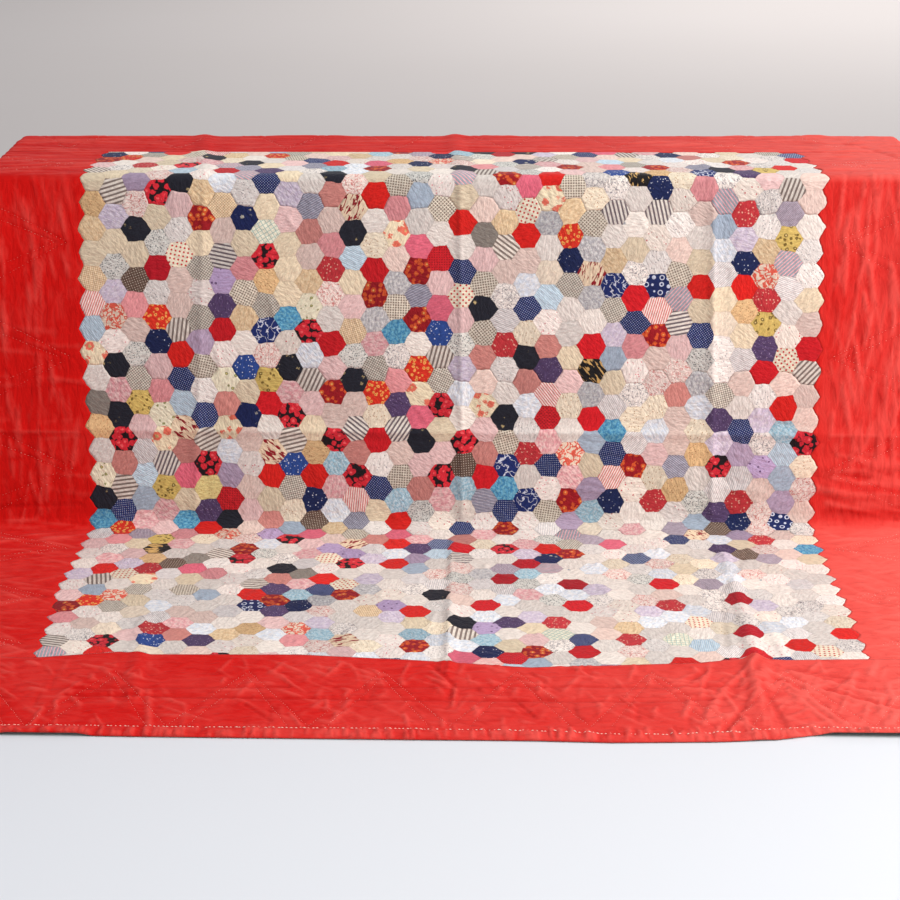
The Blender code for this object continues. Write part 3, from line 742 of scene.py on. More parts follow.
def quilted_lines():
    """The border's hand-quilted lines, as short straight runs in flat measures."""
    lines = []
    inner, outer = CHEVRON_SIDES
    for gap in (0.0, CHEVRON_GAP):
        inset = CHEVRON_INSET * gap
        count = int(2 * outer / CHEVRON_PITCH)
        for index in range(-count // 2, count // 2 + 1):
            left = index * CHEVRON_PITCH
            middle = left + CHEVRON_PITCH / 2
            right = left + CHEVRON_PITCH
            for near, far in CHEVRON_ROWS:
                lines.append((left + gap, far, middle, near + inset))
                lines.append((middle, near + inset, right - gap, far))
        for index in range(CHEVRONS_ALONG):
            low = PATCH_BACK + 0.01 + index * CHEVRON_PITCH
            high = min(low + CHEVRON_PITCH, CHEVRON_FRONT)
            middle = (low + high) / 2
            for side in (-1, 1):
                tip = side * (inner + inset)
                lines.append((side * outer, low + gap, tip, middle))
                lines.append((tip, middle, side * outer, high - gap))
    return [line for line in lines if max(abs(line[0]), abs(line[2])) < outer + 0.01]


def hem_lines():
    """The hem's stitch line on the four sides, as straight runs in flat measures."""
    edge = QUILT_HALF_WIDTH - HEM_TURN
    back = QUILT_BACK + HEM_TURN
    spots = np.arange(-edge, edge + 0.001, 0.1)
    front = front_hem(spots) - np.interp(spots, HEM_LINE[:, 0], HEM_LINE[:, 1])
    lines = []
    for index in range(len(spots) - 1):
        left, right = spots[index:index + 2]
        lines.append((left, front[index], right, front[index + 1]))
        lines.append((left, back, right, back))
    for side in (-1, 1):
        lines.append((side * edge, back, side * edge, QUILT_FRONT - HEM_TURN))
    return lines


def border_height(across, along, share):
    """The border's face with puckers, hem and stitched lines, and the distance to its hem."""
    to_hem = np.minimum(np.minimum(QUILT_HALF_WIDTH - np.abs(across), along - QUILT_BACK),
                        front_hem(across) - along)
    height = pucker_height(across, along, "border", share)
    height = height + HEM_RISE * smooth_step((HEM_TURN - to_hem) / HEM_RISE_WIDTH)
    for line in hem_lines():
        height = height - STITCH_SINK * ridge(across, along, (*line, HEM_SINK_WIDTH))
    for line in quilted_lines():
        low, high = sorted((line[1], line[3]))
        near = (along > low - 0.01) & (along < high + 0.01)
        height[near] -= STITCH_SINK * ridge(across[near], along[near],
                                            (*line, QUILT_SINK_WIDTH))
    return height, to_hem


def fill(data, key, values, kind=np.float32):
    """Give one value, or one row of values, to each item of a mesh's data."""
    data.foreach_set(key, np.ascontiguousarray(values, kind).ravel())


def shaded_mesh(name, points, faces, materials, indices, maps, values, face_values):
    """A mesh of triangles with its materials, maps, and values at the points and faces."""
    mesh = bpy.data.meshes.new(name)
    mesh.vertices.add(len(points))
    fill(mesh.vertices, "co", points)
    mesh.loops.add(3 * len(faces))
    fill(mesh.loops, "vertex_index", faces, np.int32)
    mesh.polygons.add(len(faces))
    fill(mesh.polygons, "loop_start", np.arange(0, 3 * len(faces), 3), np.int32)
    for made in materials:
        mesh.materials.append(made)
    fill(mesh.polygons, "material_index", indices, np.int32)
    for label, places in maps.items():
        fill(mesh.uv_layers.new(name=label).uv, "vector", places)
    for domain, held in (("POINT", values), ("FACE", face_values)):
        for label, amounts in held.items():
            fill(mesh.attributes.new(label, "FLOAT", domain).data, "value", amounts)
    mesh.update(calc_edges=True)
    mesh.validate()
    mesh.shade_smooth()
    made = bpy.data.objects.new(name, mesh)
    bpy.context.scene.collection.objects.link(made)
    return made


def rim_faces(faces, count):
    """The triangles that close a sheet between its face and its underside."""
    edges = np.concatenate((faces[:, (0, 1)], faces[:, (1, 2)], faces[:, (2, 0)]))
    keys = np.sort(edges, axis=1)
    codes = keys[:, 0].astype(np.int64) * count + keys[:, 1]
    _, inverse, uses = np.unique(codes, return_inverse=True, return_counts=True)
    a, b = edges[uses[inverse] == 1].T
    return np.concatenate((np.stack((b, a, a + count), axis=1),
                           np.stack((b, a + count, b + count), axis=1)))


def closed_sheet(name, across, along, height, faces, materials, face_index, maps, values,
                 face_values, thin=1.0):
    """A closed sheet of cloth: its face with the given height, and a plain underside."""
    middle, normals = surface(across, along)
    count = len(across)
    body = np.full(count, CLOTH / 2) * thin
    upper = middle + normals * np.maximum(body + height, THINNEST - body)[:, None]
    lower = middle - normals * body[:, None]
    rim = rim_faces(faces, count)
    all_faces = np.concatenate((faces, faces[:, ::-1] + count, rim))
    indices = np.concatenate((face_index, np.full(len(faces), len(materials) - 1),
                              np.full(len(rim), face_index[0])))
    flat = np.stack((across, along), axis=1) * 100
    both = np.concatenate((flat, flat))
    whole_maps = {"Flat": both[all_faces]}
    for label, corners in maps.items():
        whole_maps[label] = np.concatenate((corners, flat[faces[:, ::-1]], both[rim]))
    whole_values = {label: np.concatenate((amount, amount)) for label, amount in values.items()}
    half = np.full(len(rim), 0.5)
    on_faces = {label: np.concatenate((amount, amount, half))
                for label, amount in face_values.items()}
    return shaded_mesh(name, np.concatenate((upper, lower)), all_faces, materials, indices,
                       whole_maps, whole_values, on_faces)


def hexagon_lattice():
    """One hexagon's points and triangles on a grid of three directions."""
    n = SUBDIVISIONS
    steps = range(-n - 1, n + 1)
    spots = [(a, b) for a in range(-n, n + 1) for b in range(-n, n + 1) if abs(a + b) <= n]
    known = {spot: index for index, spot in enumerate(spots)}
    triangles = []
    for a, b in ((a, b) for a in steps for b in steps):
        for corners in (((a, b), (a + 1, b), (a, b + 1)),
                        ((a + 1, b), (a + 1, b + 1), (a, b + 1))):
            if all(corner in known for corner in corners):
                triangles.append([known[corner] for corner in corners])
    return np.array(spots), np.array(triangles)


def used_weights(across, along):
    """How likely each cotton is at one place."""
    weights = np.array([fabric[3] for fabric in COTTONS])
    for name, spots in USED_MORE.items():
        chosen = np.array([name in fabric[:2] for fabric in COTTONS])
        for *spot, times in spots:
            x, y, reach_x, reach_y = (value / 100 for value in spot)
            near = math.exp(-((across - x) / reach_x) ** 2 - ((along - y) / reach_y) ** 2)
            weights = np.where(chosen, weights * (1 + (times - 1) * near), weights)
    return weights / weights.sum()


def drawn_patches():
    """Every patch: its column, row, lattice centre, cotton, and its print's turn and shade."""
    draws = np.random.default_rng(DRAW_SEED)
    groups = np.array([fabric[0] for fabric in COTTONS])
    patches = []
    taken = {}
    for column in range(COLUMNS):
        step = column % 2
        for row in range(LENGTHS[0][1], LENGTHS[-1][2] + 1):
            across, along = lattice_place(np.array(column * COLUMN_PITCH),
                                          np.array(row + step / 2))
            weights = used_weights(float(across), float(along))
            for near in ((column, row - 1), (column - 1, row - 1 + step),
                         (column - 1, row + step)):
                group = groups[taken[near]] if near in taken else "pale"
                if group != "pale":
                    weights[taken[near]] *= SAME_AGAIN
                for family in STRONG_FAMILIES:
                    if group in family:
                        weights = np.where(np.isin(groups, family), LIKE_AGAIN * weights,
                                           weights)
            chosen = draws.choice(len(COTTONS), p=weights / weights.sum())
            taken[(column, row)] = chosen
            turn, slide_x, slide_y, shade = draws.random(4)
            b = 2 * row + step
            patches.append((column, row, (3 * column - b) // 2, b, chosen, turn * 2 * math.pi,
                            slide_x * PRINT_SLIDE, slide_y * PRINT_SLIDE, shade))
    return np.array(patches, dtype=[(key, int) for key in ("column", "row", "a", "b", "cotton")]
                    + [(key, float) for key in ("turn", "slide_x", "slide_y", "shade")])


def material(name, roughness, sheen):
    """A new material and its shader, with the values that are the same all over."""
    made = bpy.data.materials.new(name)
    made.use_nodes = True
    shader = made.node_tree.nodes["Principled BSDF"]
    for key, value in (("Roughness", roughness), ("Specular IOR Level", 0.25),
                       ("Sheen Weight", sheen), ("Sheen Roughness", 0.5)):
        shader.inputs[key].default_value = value
    return made, made.node_tree, shader


def node(tree, kind, inputs=None, **settings):
    """A node with its settings, and its inputs linked or set by name or number."""
    made = tree.nodes.new(kind)
    for key, value in settings.items():
        setattr(made, key, value)
    for key, value in (inputs or {}).items():
        if isinstance(value, bpy.types.NodeSocket):
            tree.links.new(value, made.inputs[key])
        else:
            made.inputs[key].default_value = value
    return made


def math_node(tree, operation, first, second=0.0, third=0.0):
    """One sum."""
    return node(tree, "ShaderNodeMath", {0: first, 1: second, 2: third},
                operation=operation).outputs[0]


def mix(tree, share, first, second, blend="MIX"):
    """Two colours mixed."""
    return node(tree, "ShaderNodeMix", {0: share, 6: first, 7: second}, data_type="RGBA",
                blend_type=blend).outputs[2]


def toned(tree, face, share, low=(1, 1, 1), high=(1, 1, 1)):
    """A colour multiplied by low where the share is 0 and by high where it is 1."""
    tone = mix(tree, share, (*low, 1), (*high, 1))
    return mix(tree, 1.0, face, tone, "MULTIPLY")


def cut(tree, value, low, high):
    """0 below low, 1 above high and smooth between them."""
    return node(tree, "ShaderNodeMapRange", {"Value": value, "From Min": low, "From Max": high},
                interpolation_type="SMOOTHSTEP").outputs["Result"]


def placed(tree, layer, scale=(1.0, 1.0), turn=0.0):
    """The cloth's own measures in centimetres, scaled and turned."""
    source = node(tree, "ShaderNodeUVMap", uv_map=layer)
    return node(tree, "ShaderNodeMapping",
                {"Vector": source.outputs[0], "Rotation": (0.0, 0.0, turn),
                 "Scale": (scale[0], scale[1], 1.0)}).outputs[0]


def noise(tree, place, scale, detail=2.0, rough=0.5, distortion=0.0):
    """A soft random amount."""
    return node(tree, "ShaderNodeTexNoise",
                {"Vector": place, "Scale": scale, "Detail": detail, "Roughness": rough,
                 "Distortion": distortion}).outputs["Fac"]


def warped(tree, place, amount):
    """The same measures, strayed by up to an amount of centimetres."""
    stray = node(tree, "ShaderNodeTexNoise", {"Vector": place, "Scale": 1.3}).outputs["Color"]
    return node(tree, "ShaderNodeVectorMath", {0: stray, 1: (amount, amount, 0.0), 2: place},
                operation="MULTIPLY_ADD").outputs[0]


def cells(tree, place, scale, scatter):
    """Distance to the nearest of scattered spots."""
    return node(tree, "ShaderNodeTexVoronoi",
                {"Vector": place, "Scale": scale, "Randomness": scatter}).outputs["Distance"]


def stripe_share(tree, place, axis, pitch, share):
    """1 on the stripes across one axis."""
    parts = node(tree, "ShaderNodeSeparateXYZ", {0: place})
    waved = math_node(tree, "PINGPONG", parts.outputs[axis], pitch / 2)
    return cut(tree, waved, share * pitch / 2 + 0.02, share * pitch / 2 - 0.02)


def print_share(tree, kind, pitch=1.0, share=0.0):
    """Where a cotton's second colour shows, and where its third does."""
    place = placed(tree, "Cloth")
    third = None
    if kind == "plain":
        second = math_node(tree, "MULTIPLY", noise(tree, place, 0.6, 3.0), 0.9)
    elif kind == "mottled":
        second = cut(tree, noise(tree, place, 1 / pitch, 4.0, 0.65), 0.40, 0.60)
    elif kind == "dot":
        distance = cells(tree, placed(tree, "Cloth", turn=math.pi / 4), 1 / pitch, 0.0)
        second = cut(tree, distance, share + 0.05, share - 0.05)
    elif kind == "sprig":
        bent = math_node(tree, "MULTIPLY_ADD", noise(tree, place, 3.5, 1.0), 0.30,
                         cells(tree, place, 1 / pitch, 0.9))
        second = cut(tree, bent, share + 0.22, share + 0.08)
    elif kind == "ring":
        off = math_node(tree, "SUBTRACT", cells(tree, place, 1 / pitch, 0.35), share)
        second = cut(tree, math_node(tree, "ABSOLUTE", off), 0.09, 0.04)
    elif kind == "stripe":
        second = stripe_share(tree, place, 0, pitch, share)
    elif kind in ("check", "plaid"):
        one, other = (stripe_share(tree, place, axis, pitch, share) for axis in (0, 1))
        if kind == "check":
            second = math_node(tree, "MULTIPLY", math_node(tree, "ADD", one, other), 0.62)
        else:
            fine = stripe_share(tree, place, 0, pitch / 3, share)
            second = math_node(tree, "MAXIMUM", math_node(tree, "MAXIMUM", one, other),
                               math_node(tree, "MULTIPLY", fine, 0.4))
    elif kind == "vine":
        off = math_node(tree, "SUBTRACT", noise(tree, place, 1 / pitch, 2.0, 0.55, 0.6), 0.5)
        second = cut(tree, math_node(tree, "ABSOLUTE", off), share * 0.32, share * 0.16)
    elif kind == "brush":
        streaks = noise(tree, placed(tree, "Cloth", (1.5, 0.42)), 1.3 / pitch, 2.0, 0.6, 0.5)
        second = cut(tree, streaks, 0.53, 0.58)
    elif kind == "petal":
        distance = cells(tree, warped(tree, place, 0.7), 1 / pitch, 0.85)
        second = cut(tree, distance, share + 0.05, share - 0.03)
        third = cut(tree, distance, share * 0.55, share * 0.2)
    elif kind == "floral":
        bent = math_node(tree, "MULTIPLY_ADD", noise(tree, place, 2.4, 2.0), 0.36,
                         cells(tree, place, 1 / pitch, 0.75))
        second = cut(tree, bent, share + 0.24, share + 0.16)
        third = cut(tree, bent, share * 0.5 + 0.20, share * 0.5 + 0.10)
    return second, third


def relief(tree, shader, fold, plain, strength):
    """Crinkles as bump from a soft amount, and the weave from the cloth's own measures."""
    first = node(tree, "ShaderNodeBump",
                 {"Strength": strength, "Distance": 0.004, "Height": fold})
    second = node(tree, "ShaderNodeBump",
                  {"Strength": 0.25, "Distance": 0.0006, "Normal": first.outputs[0],
                   "Height": noise(tree, plain, 22.0, 1.0)})
    tree.links.new(second.outputs[0], shader.inputs["Normal"])


def attribute(tree, name):
    """One value that the mesh holds at its points."""
    return node(tree, "ShaderNodeAttribute", attribute_name=name).outputs["Fac"]


def cotton(fabric):
    """The material of one printed or plain cotton."""
    _, name, kind, _, colours, *sizes = fabric
    made, tree, shader = material("cotton_" + name, 0.86, 0.05)
    second, third = print_share(tree, kind, *sizes)
    face = mix(tree, second, colour(colours[0]), colour(colours[1]))
    if third is not None:
        face = mix(tree, third, face, colour(colours[2]))
    face = toned(tree, face, cut(tree, attribute(tree, "shade"), 0.0, 1.0),
                 (0.83, 0.82, 0.82), (1.06, 1.04, 1.02))
    # Painted shade along the seams between patches.
    face = toned(tree, face, cut(tree, attribute(tree, "seam"), 0.0, 0.07),
                 low=(0.88, 0.86, 0.85))
    # Painted shade: darker where the face sinks in dips and valleys.
    face = toned(tree, face, attribute(tree, "dip"), high=(0.84, 0.82, 0.81))
    # Painted light and shade of crinkles: paler and darker by a soft streaky noise.
    crinkle_shading = noise(tree, placed(tree, "Cloth", (2.2, 0.9)), 1.0, 2.0, 0.55, 0.3)
    face = toned(tree, face, cut(tree, crinkle_shading, 0.34, 0.66),
                 (0.87, 0.86, 0.86), (1.04, 1.04, 1.04))
    tree.links.new(face, shader.inputs["Base Color"])
    relief(tree, shader, noise(tree, placed(tree, "Cloth", (1.7, 0.8)), 1.0, 2.0, 0.5, 0.3),
           placed(tree, "Cloth"), 0.75)
    return made


def red_cotton(settings):
    """The border's turkey red cotton, paler on its ridges from wear, with painted highlight and
    painted shade.
    """
    made, tree, shader = material("turkey_red_cotton", 0.84, 0.03)
    shader.inputs["Specular IOR Level"].default_value = 0.08
    flat = placed(tree, "Flat")
    parts = node(tree, "ShaderNodeSeparateXYZ", {0: flat})
    on_top = cut(tree, parts.outputs[1], 1.5, -0.5)
    lying = math_node(tree, "MAXIMUM", on_top, cut(tree, parts.outputs[1], 70.0, 76.0))
    patchy = noise(tree, placed(tree, "Flat", (0.06, 0.06)), 1.0, 4.0, 0.6)
    hanging = noise(tree, placed(tree, "Flat", (0.75, 0.24)), 1.0, 2.5, 0.55, 0.5)
    spread = noise(tree, placed(tree, "Flat", (0.30, 0.70)), 1.0, 3.0, 0.55, 0.6)
    streaky = mix(tree, lying, hanging, spread)
    # Painted highlight: the faded red comes in more towards the right, and more again where the
    # cloth lies flat on the top and the floor.
    highlight_to_right = math_node(tree, "MULTIPLY_ADD", parts.outputs[0], 1 / 190, 0.47)
    highlight_to_right = math_node(tree, "POWER", math_node(tree, "MAXIMUM", highlight_to_right, 0.0), 3.0)
    wear_and_highlight = math_node(tree, "MULTIPLY_ADD", lying, 0.72, 0.33)
    wear_and_highlight = math_node(tree, "MULTIPLY", wear_and_highlight, highlight_to_right)
    # More painted highlight where the cloth lies flat, then real wear on the ridges and patchy
    # and streaky fading.
    for amount, weight in ((lying, 0.08), (attribute(tree, "wear"), 0.32),
                           (cut(tree, patchy, 0.36, 0.64), 0.14),
                           (cut(tree, streaky, 0.36, 0.66), 0.08)):
        wear_and_highlight = math_node(tree, "MULTIPLY_ADD", amount, weight, wear_and_highlight)
    wear_and_highlight = math_node(tree, "SUBTRACT", wear_and_highlight, 0.115)
    wear_and_highlight = math_node(tree, "MAXIMUM", math_node(tree, "MINIMUM", wear_and_highlight, 1.0), 0.0)
    # The faded red stands both for wear and for painted highlight.
    face = mix(tree, wear_and_highlight, [*settings.red, 1.0], [*settings.faded_and_highlit_red, 1.0])
    # Painted shade: the red is made darker where it lies on the table's top.
    face = toned(tree, face, on_top, high=(0.84, 0.80, 0.80))
    # Painted shade of the ripples: darker where the streaky noise, which also makes the bump, is
    # low.
    face = toned(tree, face, cut(tree, streaky, 0.30, 0.52), low=(0.92, 0.88, 0.88))
    # Painted shade: darker where the face sinks along stitched lines and puckers.
    face = toned(tree, face, attribute(tree, "dip"), high=(0.87, 0.75, 0.75))
    # Painted shade along the seams with the patchwork and the other strips.
    face = toned(tree, face, cut(tree, attribute(tree, "seam"), 0.0, 0.12),
                 low=(0.93, 0.90, 0.90))
    tree.links.new(face, shader.inputs["Base Color"])
    relief(tree, shader, streaky, flat, 0.9)
    return made


def backing_cotton(settings):
    """The backing's dark cotton, with a faint small print."""
    made, tree, shader = material("backing_cotton", 0.88, 0.10)
    marks = cut(tree, cells(tree, placed(tree, "Flat"), 0.9, 0.8), 0.34, 0.22)
    face = mix(tree, marks, [*settings.backing, 1.0], colour((142, 142, 118)))
    faded = noise(tree, placed(tree, "Flat", (0.08, 0.08)), 1.0, 3.0)
    face = mix(tree, math_node(tree, "MULTIPLY", faded, 0.35), face, colour((128, 132, 122)))
    tree.links.new(face, shader.inputs["Base Color"])
    relief(tree, shader, noise(tree, placed(tree, "Flat"), 0.8), placed(tree, "Flat"), 0.5)
    return made


def declared(piece, nodes):
    """Hide the solids that a cloth piece stands for, and attach it to the root body."""
    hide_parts(*nodes)
    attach(piece, "root")


class QUILT_OT_patchwork(bpy.types.Operator):
    """Piece the hexagons and hang them"""
    bl_idname = "quilt.make_patchwork"
    bl_label = "Patchwork"

    def execute(self, context):
        settings = context.scene.quilt
        patches = drawn_patches()
        materials = [cotton(fabric) for fabric in COTTONS]
        materials.append(bpy.data.materials.get("backing_cotton") or backing_cotton(settings))
        for name, first_row, last_row in LENGTHS:
            chosen = (patches["row"] >= first_row) & (patches["row"] <= last_row)
            self.make_length(name, patches[chosen], materials, settings)
        return {"FINISHED"}

    def make_length(self, name, patches, materials, settings):
        """One length of the patchwork, as a closed sheet with a cotton for each hexagon."""
        n = SUBDIVISIONS
        spots, triangles = hexagon_lattice()
        edge = 1 - np.max(np.abs((spots[:, 0], spots[:, 1], spots.sum(axis=1))), axis=0) / n
        centres = np.stack((patches["a"], patches["b"]), axis=1)
        grid = (centres[:, None, :] * n + spots[None, :, :]).reshape(-1, 2)
        unique, inverse = np.unique(grid, axis=0, return_inverse=True)
        inverse = inverse.reshape(len(patches), len(spots))
        across, along = lattice_place((unique[:, 0] + unique[:, 1] / 2) * HEX_SIDE / n,
                                      unique[:, 1] / (2 * n))
        ends = front_seam(across)
        kept = np.clip(along, PATCH_BACK, ends)
        clamped = (along <= PATCH_BACK) | (along >= ends)
        faces = inverse[:, triangles].reshape(-1, 3)
        inside = ~clamped[faces].all(axis=1)
        faces = faces[inside]
        owner = np.repeat(np.arange(len(patches)), len(triangles))[inside]
        corner_spots = np.tile(triangles, (len(patches), 1))[inside]
        places = np.round(np.stack((across, kept), axis=1) * 1e6).astype(np.int64)
        _, first, merged = np.unique(places, axis=0, return_index=True, return_inverse=True)
        used, faces = np.unique(merged.reshape(-1)[faces], return_inverse=True)
        faces = faces.reshape(-1, 3)
        across = across[first][used]
        along = kept[first][used]
        seam = np.ones(len(across))
        np.minimum.at(seam, faces.ravel(), edge[corner_spots].ravel())
        to_seam = np.minimum(along - PATCH_BACK, front_seam(across) - along)
        seam = np.minimum(seam, to_seam / HEX_SIDE)
        lift = np.random.default_rng(PUCKER_SEED).random(len(patches))[owner]
        puff = np.zeros(len(across))
        np.maximum.at(puff, faces.ravel(), np.repeat(0.6 + 0.8 * lift, 3))
        height = settings.patch_puff * puff * smooth_step(seam / 0.55)
        height += settings.seam_depth * (smooth_step(seam / SEAM_REACH) - 1)
        height += pucker_height(across, along, "patchwork", settings.pucker_share)
        middle = np.stack(lattice_place(patches["column"] * COLUMN_PITCH, patches["b"] / 2),
                          axis=1)[owner]
        flat = np.stack((across, along), axis=1) * 100
        x, y = np.moveaxis(flat[faces] - middle[:, None, :] * 100, -1, 0)
        cos = np.cos(patches["turn"])[owner, None]
        sin = np.sin(patches["turn"])[owner, None]
        cloth = np.stack((x * cos - y * sin + patches["slide_x"][owner, None],
                          x * sin + y * cos + patches["slide_y"][owner, None]), axis=-1)
        # How deep each point sinks, for the painted shade in the dips.
        dip = np.clip(-height / PATCH_DIP, 0.0, 1.0)
        piece = closed_sheet(name, across, along, height, faces, materials,
                             patches["cotton"][owner], {"Cloth": cloth},
                             {"seam": seam, "dip": dip}, {"shade": patches["shade"][owner]})
        declared(piece,
                 ["patchwork_panel"])


class QUILT_OT_borders(bpy.types.Operator):
    """Cut the red border's four strips and hang them"""
    bl_idname = "quilt.make_borders"
    bl_label = "Red border"

    def execute(self, context):
        settings = context.scene.quilt
        materials = [red_cotton(settings)]
        materials.append(bpy.data.materials.get("backing_cotton") or backing_cotton(settings))
        sides = (BORDER, PATCH_FRONT - PATCH_BACK)
        whole = 2 * QUILT_HALF_WIDTH
        for name, grid, flat in (
                ("left", self.side_grid("left"), sides),
                ("right", self.side_grid("right"), sides),
                ("back", self.cross_grid("back"), (whole, BORDER)),
                ("front", self.cross_grid("front"), (whole, QUILT_FRONT - PATCH_FRONT))):
            self.make_strip(name, *grid, materials, settings, flat)
        return {"FINISHED"}

    def side_grid(self, side):
        """Rows and columns of a side strip, its inner edge cut to the hexagons' tips."""
        n = SUBDIVISIONS
        half = 0.0 if side == "left" else 0.5
        row = np.arange(2 * n * (LENGTHS[0][1] - 1), 2 * n * (LENGTHS[-1][2] + 2) + 1) / (2 * n)
        notch = 2 * np.abs(row + half - np.round(row + half))
        reach = HEX_SIDE - HEX_SIDE / 2 * notch
        right = -reach if side == "left" else (COLUMNS - 1) * COLUMN_PITCH + reach
        edge, along = lattice_place(right, row)
        ends = front_seam(edge)
        inside = np.flatnonzero((along > PATCH_BACK) & (along < ends))
        chosen = np.arange(inside[0] - 1, inside[-1] + 2)
        along = np.clip(along[chosen], PATCH_BACK, ends[chosen])
        outer = -QUILT_HALF_WIDTH if side == "left" else QUILT_HALF_WIDTH
        share = np.linspace(0.0, 1.0, SIDE_COLUMNS)
        across = outer + (edge[chosen, None] - outer) * share
        rows = np.repeat(along[:, None], len(share), axis=1)
        rows[-1] = front_seam(across[-1])
        return across, rows

    def cross_grid(self, side):
        """Rows and columns of a strip that runs the quilt's whole width."""
        columns, rows = CROSS_GRIDS[side]
        line = np.linspace(-QUILT_HALF_WIDTH, QUILT_HALF_WIDTH, columns)
        low, high = QUILT_BACK, PATCH_BACK
        if side == "front":
            low, high = front_seam(line), front_hem(line)
        along = low + (high - low) * np.linspace(0.0, 1.0, rows)[:, None]
        return np.broadcast_to(line, (rows, columns)), np.broadcast_to(along, (rows, columns))

    def make_strip(self, side, across, along, materials, settings, flat):
        """One strip of the border from its rows and columns."""
        ids = np.arange(across.size).reshape(across.shape)
        a, b, c, d = ids[:-1, :-1], ids[:-1, 1:], ids[1:, 1:], ids[1:, :-1]
        faces = np.concatenate((np.stack((a, b, c), axis=-1).reshape(-1, 3),
                                np.stack((a, c, d), axis=-1).reshape(-1, 3)))
        if side == "right":
            faces = faces[:, ::-1]
        seam = np.clip(self.seam_distance(side, across, along).ravel() / HEX_SIDE, 0.0, 1.0)
        across = across.ravel()
        along = along.ravel()
        height, to_hem = border_height(across, along, settings.pucker_share)
        height = height + 1.3 * settings.seam_depth * (smooth_step(seam / SEAM_REACH) - 1)
        thin = 0.35 + 0.65 * np.sqrt(np.clip(to_hem / 0.005, 0.0, 1.0))
        values = {"seam": seam, "wear": np.clip(height / BORDER_DIP, 0.0, 1.0),
                  "dip": np.clip(-height / BORDER_DIP, 0.0, 1.0)}
        piece = closed_sheet("red_border_" + side, across, along, height, faces, materials,
                             np.zeros(len(faces), int), {}, values, {}, thin)
        declared(piece,
                 ["border_" + side])

    def seam_distance(self, side, across, along):
        """How far each point lies from the strip's seams with its neighbours."""
        to_back = np.abs(along - PATCH_BACK)
        to_front = np.abs(front_seam(across) - along)
        if side in ("left", "right"):
            inner = np.abs(across - across[:, -1:])
            return np.minimum(np.minimum(to_back, to_front), inner)
        return to_back if side == "back" else to_front


class QUILT_OT_stitching(bpy.types.Operator):
    """Sew the running stitches of the hem and of the hand quilting"""
    bl_idname = "quilt.sew_border"
    bl_label = "Border stitching"

    def execute(self, context):
        settings = context.scene.quilt
        made, tree, shader = material("quilting_thread", 0.7, 0.2)
        ply = noise(tree, placed(tree, "Flat", (6.0, 6.0)), 3.0)
        face = mix(tree, ply, [*settings.thread, 1.0], colour((240, 214, 198)))
        tree.links.new(face, shader.inputs["Base Color"])
        for name, lines, size in (("hem_stitches", hem_lines(), 2.3),
                                  ("quilting_stitches", quilted_lines(), 1.0)):
            piece = self.sew(name, lines, made, settings, size)
            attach(piece, "root")
        return {"FINISHED"}

    def sew(self, name, lines, thread, settings, thick):
        """Small spindles of thread along the given lines, joined as one piece."""
        draws = np.random.default_rng(PUCKER_SEED + 1)
        runs = []
        for x0, y0, x1, y1 in lines:
            length = math.hypot(x1 - x0, y1 - y0)
            way_x = (x1 - x0) / length
            way_y = (y1 - y0) / length
            for index in range(int(length / settings.stitch_pitch)):
                jitter, slip, size, skew = draws.random(4)
                at = (index + 0.3 * jitter) * settings.stitch_pitch
                reach = thick * settings.stitch_length * (0.7 + 0.5 * size)
                aside = STITCH_STRAY * (slip - 0.5)
                bend = 0.12 * (skew - 0.5)
                x = x0 + way_x * at - way_y * aside
                y = y0 + way_y * at + way_x * aside
                runs.append((x, y, x + reach * (way_x - way_y * bend),
                             y + reach * (way_y + way_x * bend)))
        runs = np.array(runs)
        runs = runs[self.on_border((runs[:, 0] + runs[:, 2]) / 2, (runs[:, 1] + runs[:, 3]) / 2)]
        start, start_up = self.on_face(runs[:, 0], runs[:, 1], settings)
        end, end_up = self.on_face(runs[:, 2], runs[:, 3], settings)
        middle = (start + end) / 2
        up = start_up + end_up
        up /= np.linalg.norm(up, axis=1, keepdims=True)
        way = end - start
        way /= np.linalg.norm(way, axis=1, keepdims=True)
        wide = thick * settings.thread_width / 2
        aside = np.cross(up, way) * wide
        sunk = up * settings.thread_width * 0.3
        points = np.stack((start - sunk, end - sunk, middle + aside, middle - aside,
                           middle + up * wide * 1.5, middle - up * wide), axis=1)
        faces = (np.array(SPINDLE) + 6 * np.arange(len(runs))[:, None, None]).reshape(-1, 3)
        flat = np.repeat(runs[:, :2] * 100, 6, axis=0)
        return shaded_mesh(name, points.reshape(-1, 3), faces, [thread],
                           np.zeros(len(faces), int), {"Flat": flat[faces]}, {}, {})

    def on_border(self, across, along):
        """True where a place is on the red cloth and clear of its seams."""
        clear = 0.008
        beside = np.abs(across) > TIP_HALF_WIDTH + clear
        in_front = along > front_seam(across) + clear
        behind = along < PATCH_BACK - clear
        inside = (np.abs(across) < QUILT_HALF_WIDTH) & (along > QUILT_BACK)
        return (beside | in_front | behind) & inside & (along < front_hem(across))

    def on_face(self, across, along, settings):
        """Points on the red cloth's face and the way it looks there."""
        middle, normals = surface(across, along)
        height, _ = border_height(across, along, settings.pucker_share)
        return middle + normals * (CLOTH / 2 + height)[:, None], normals


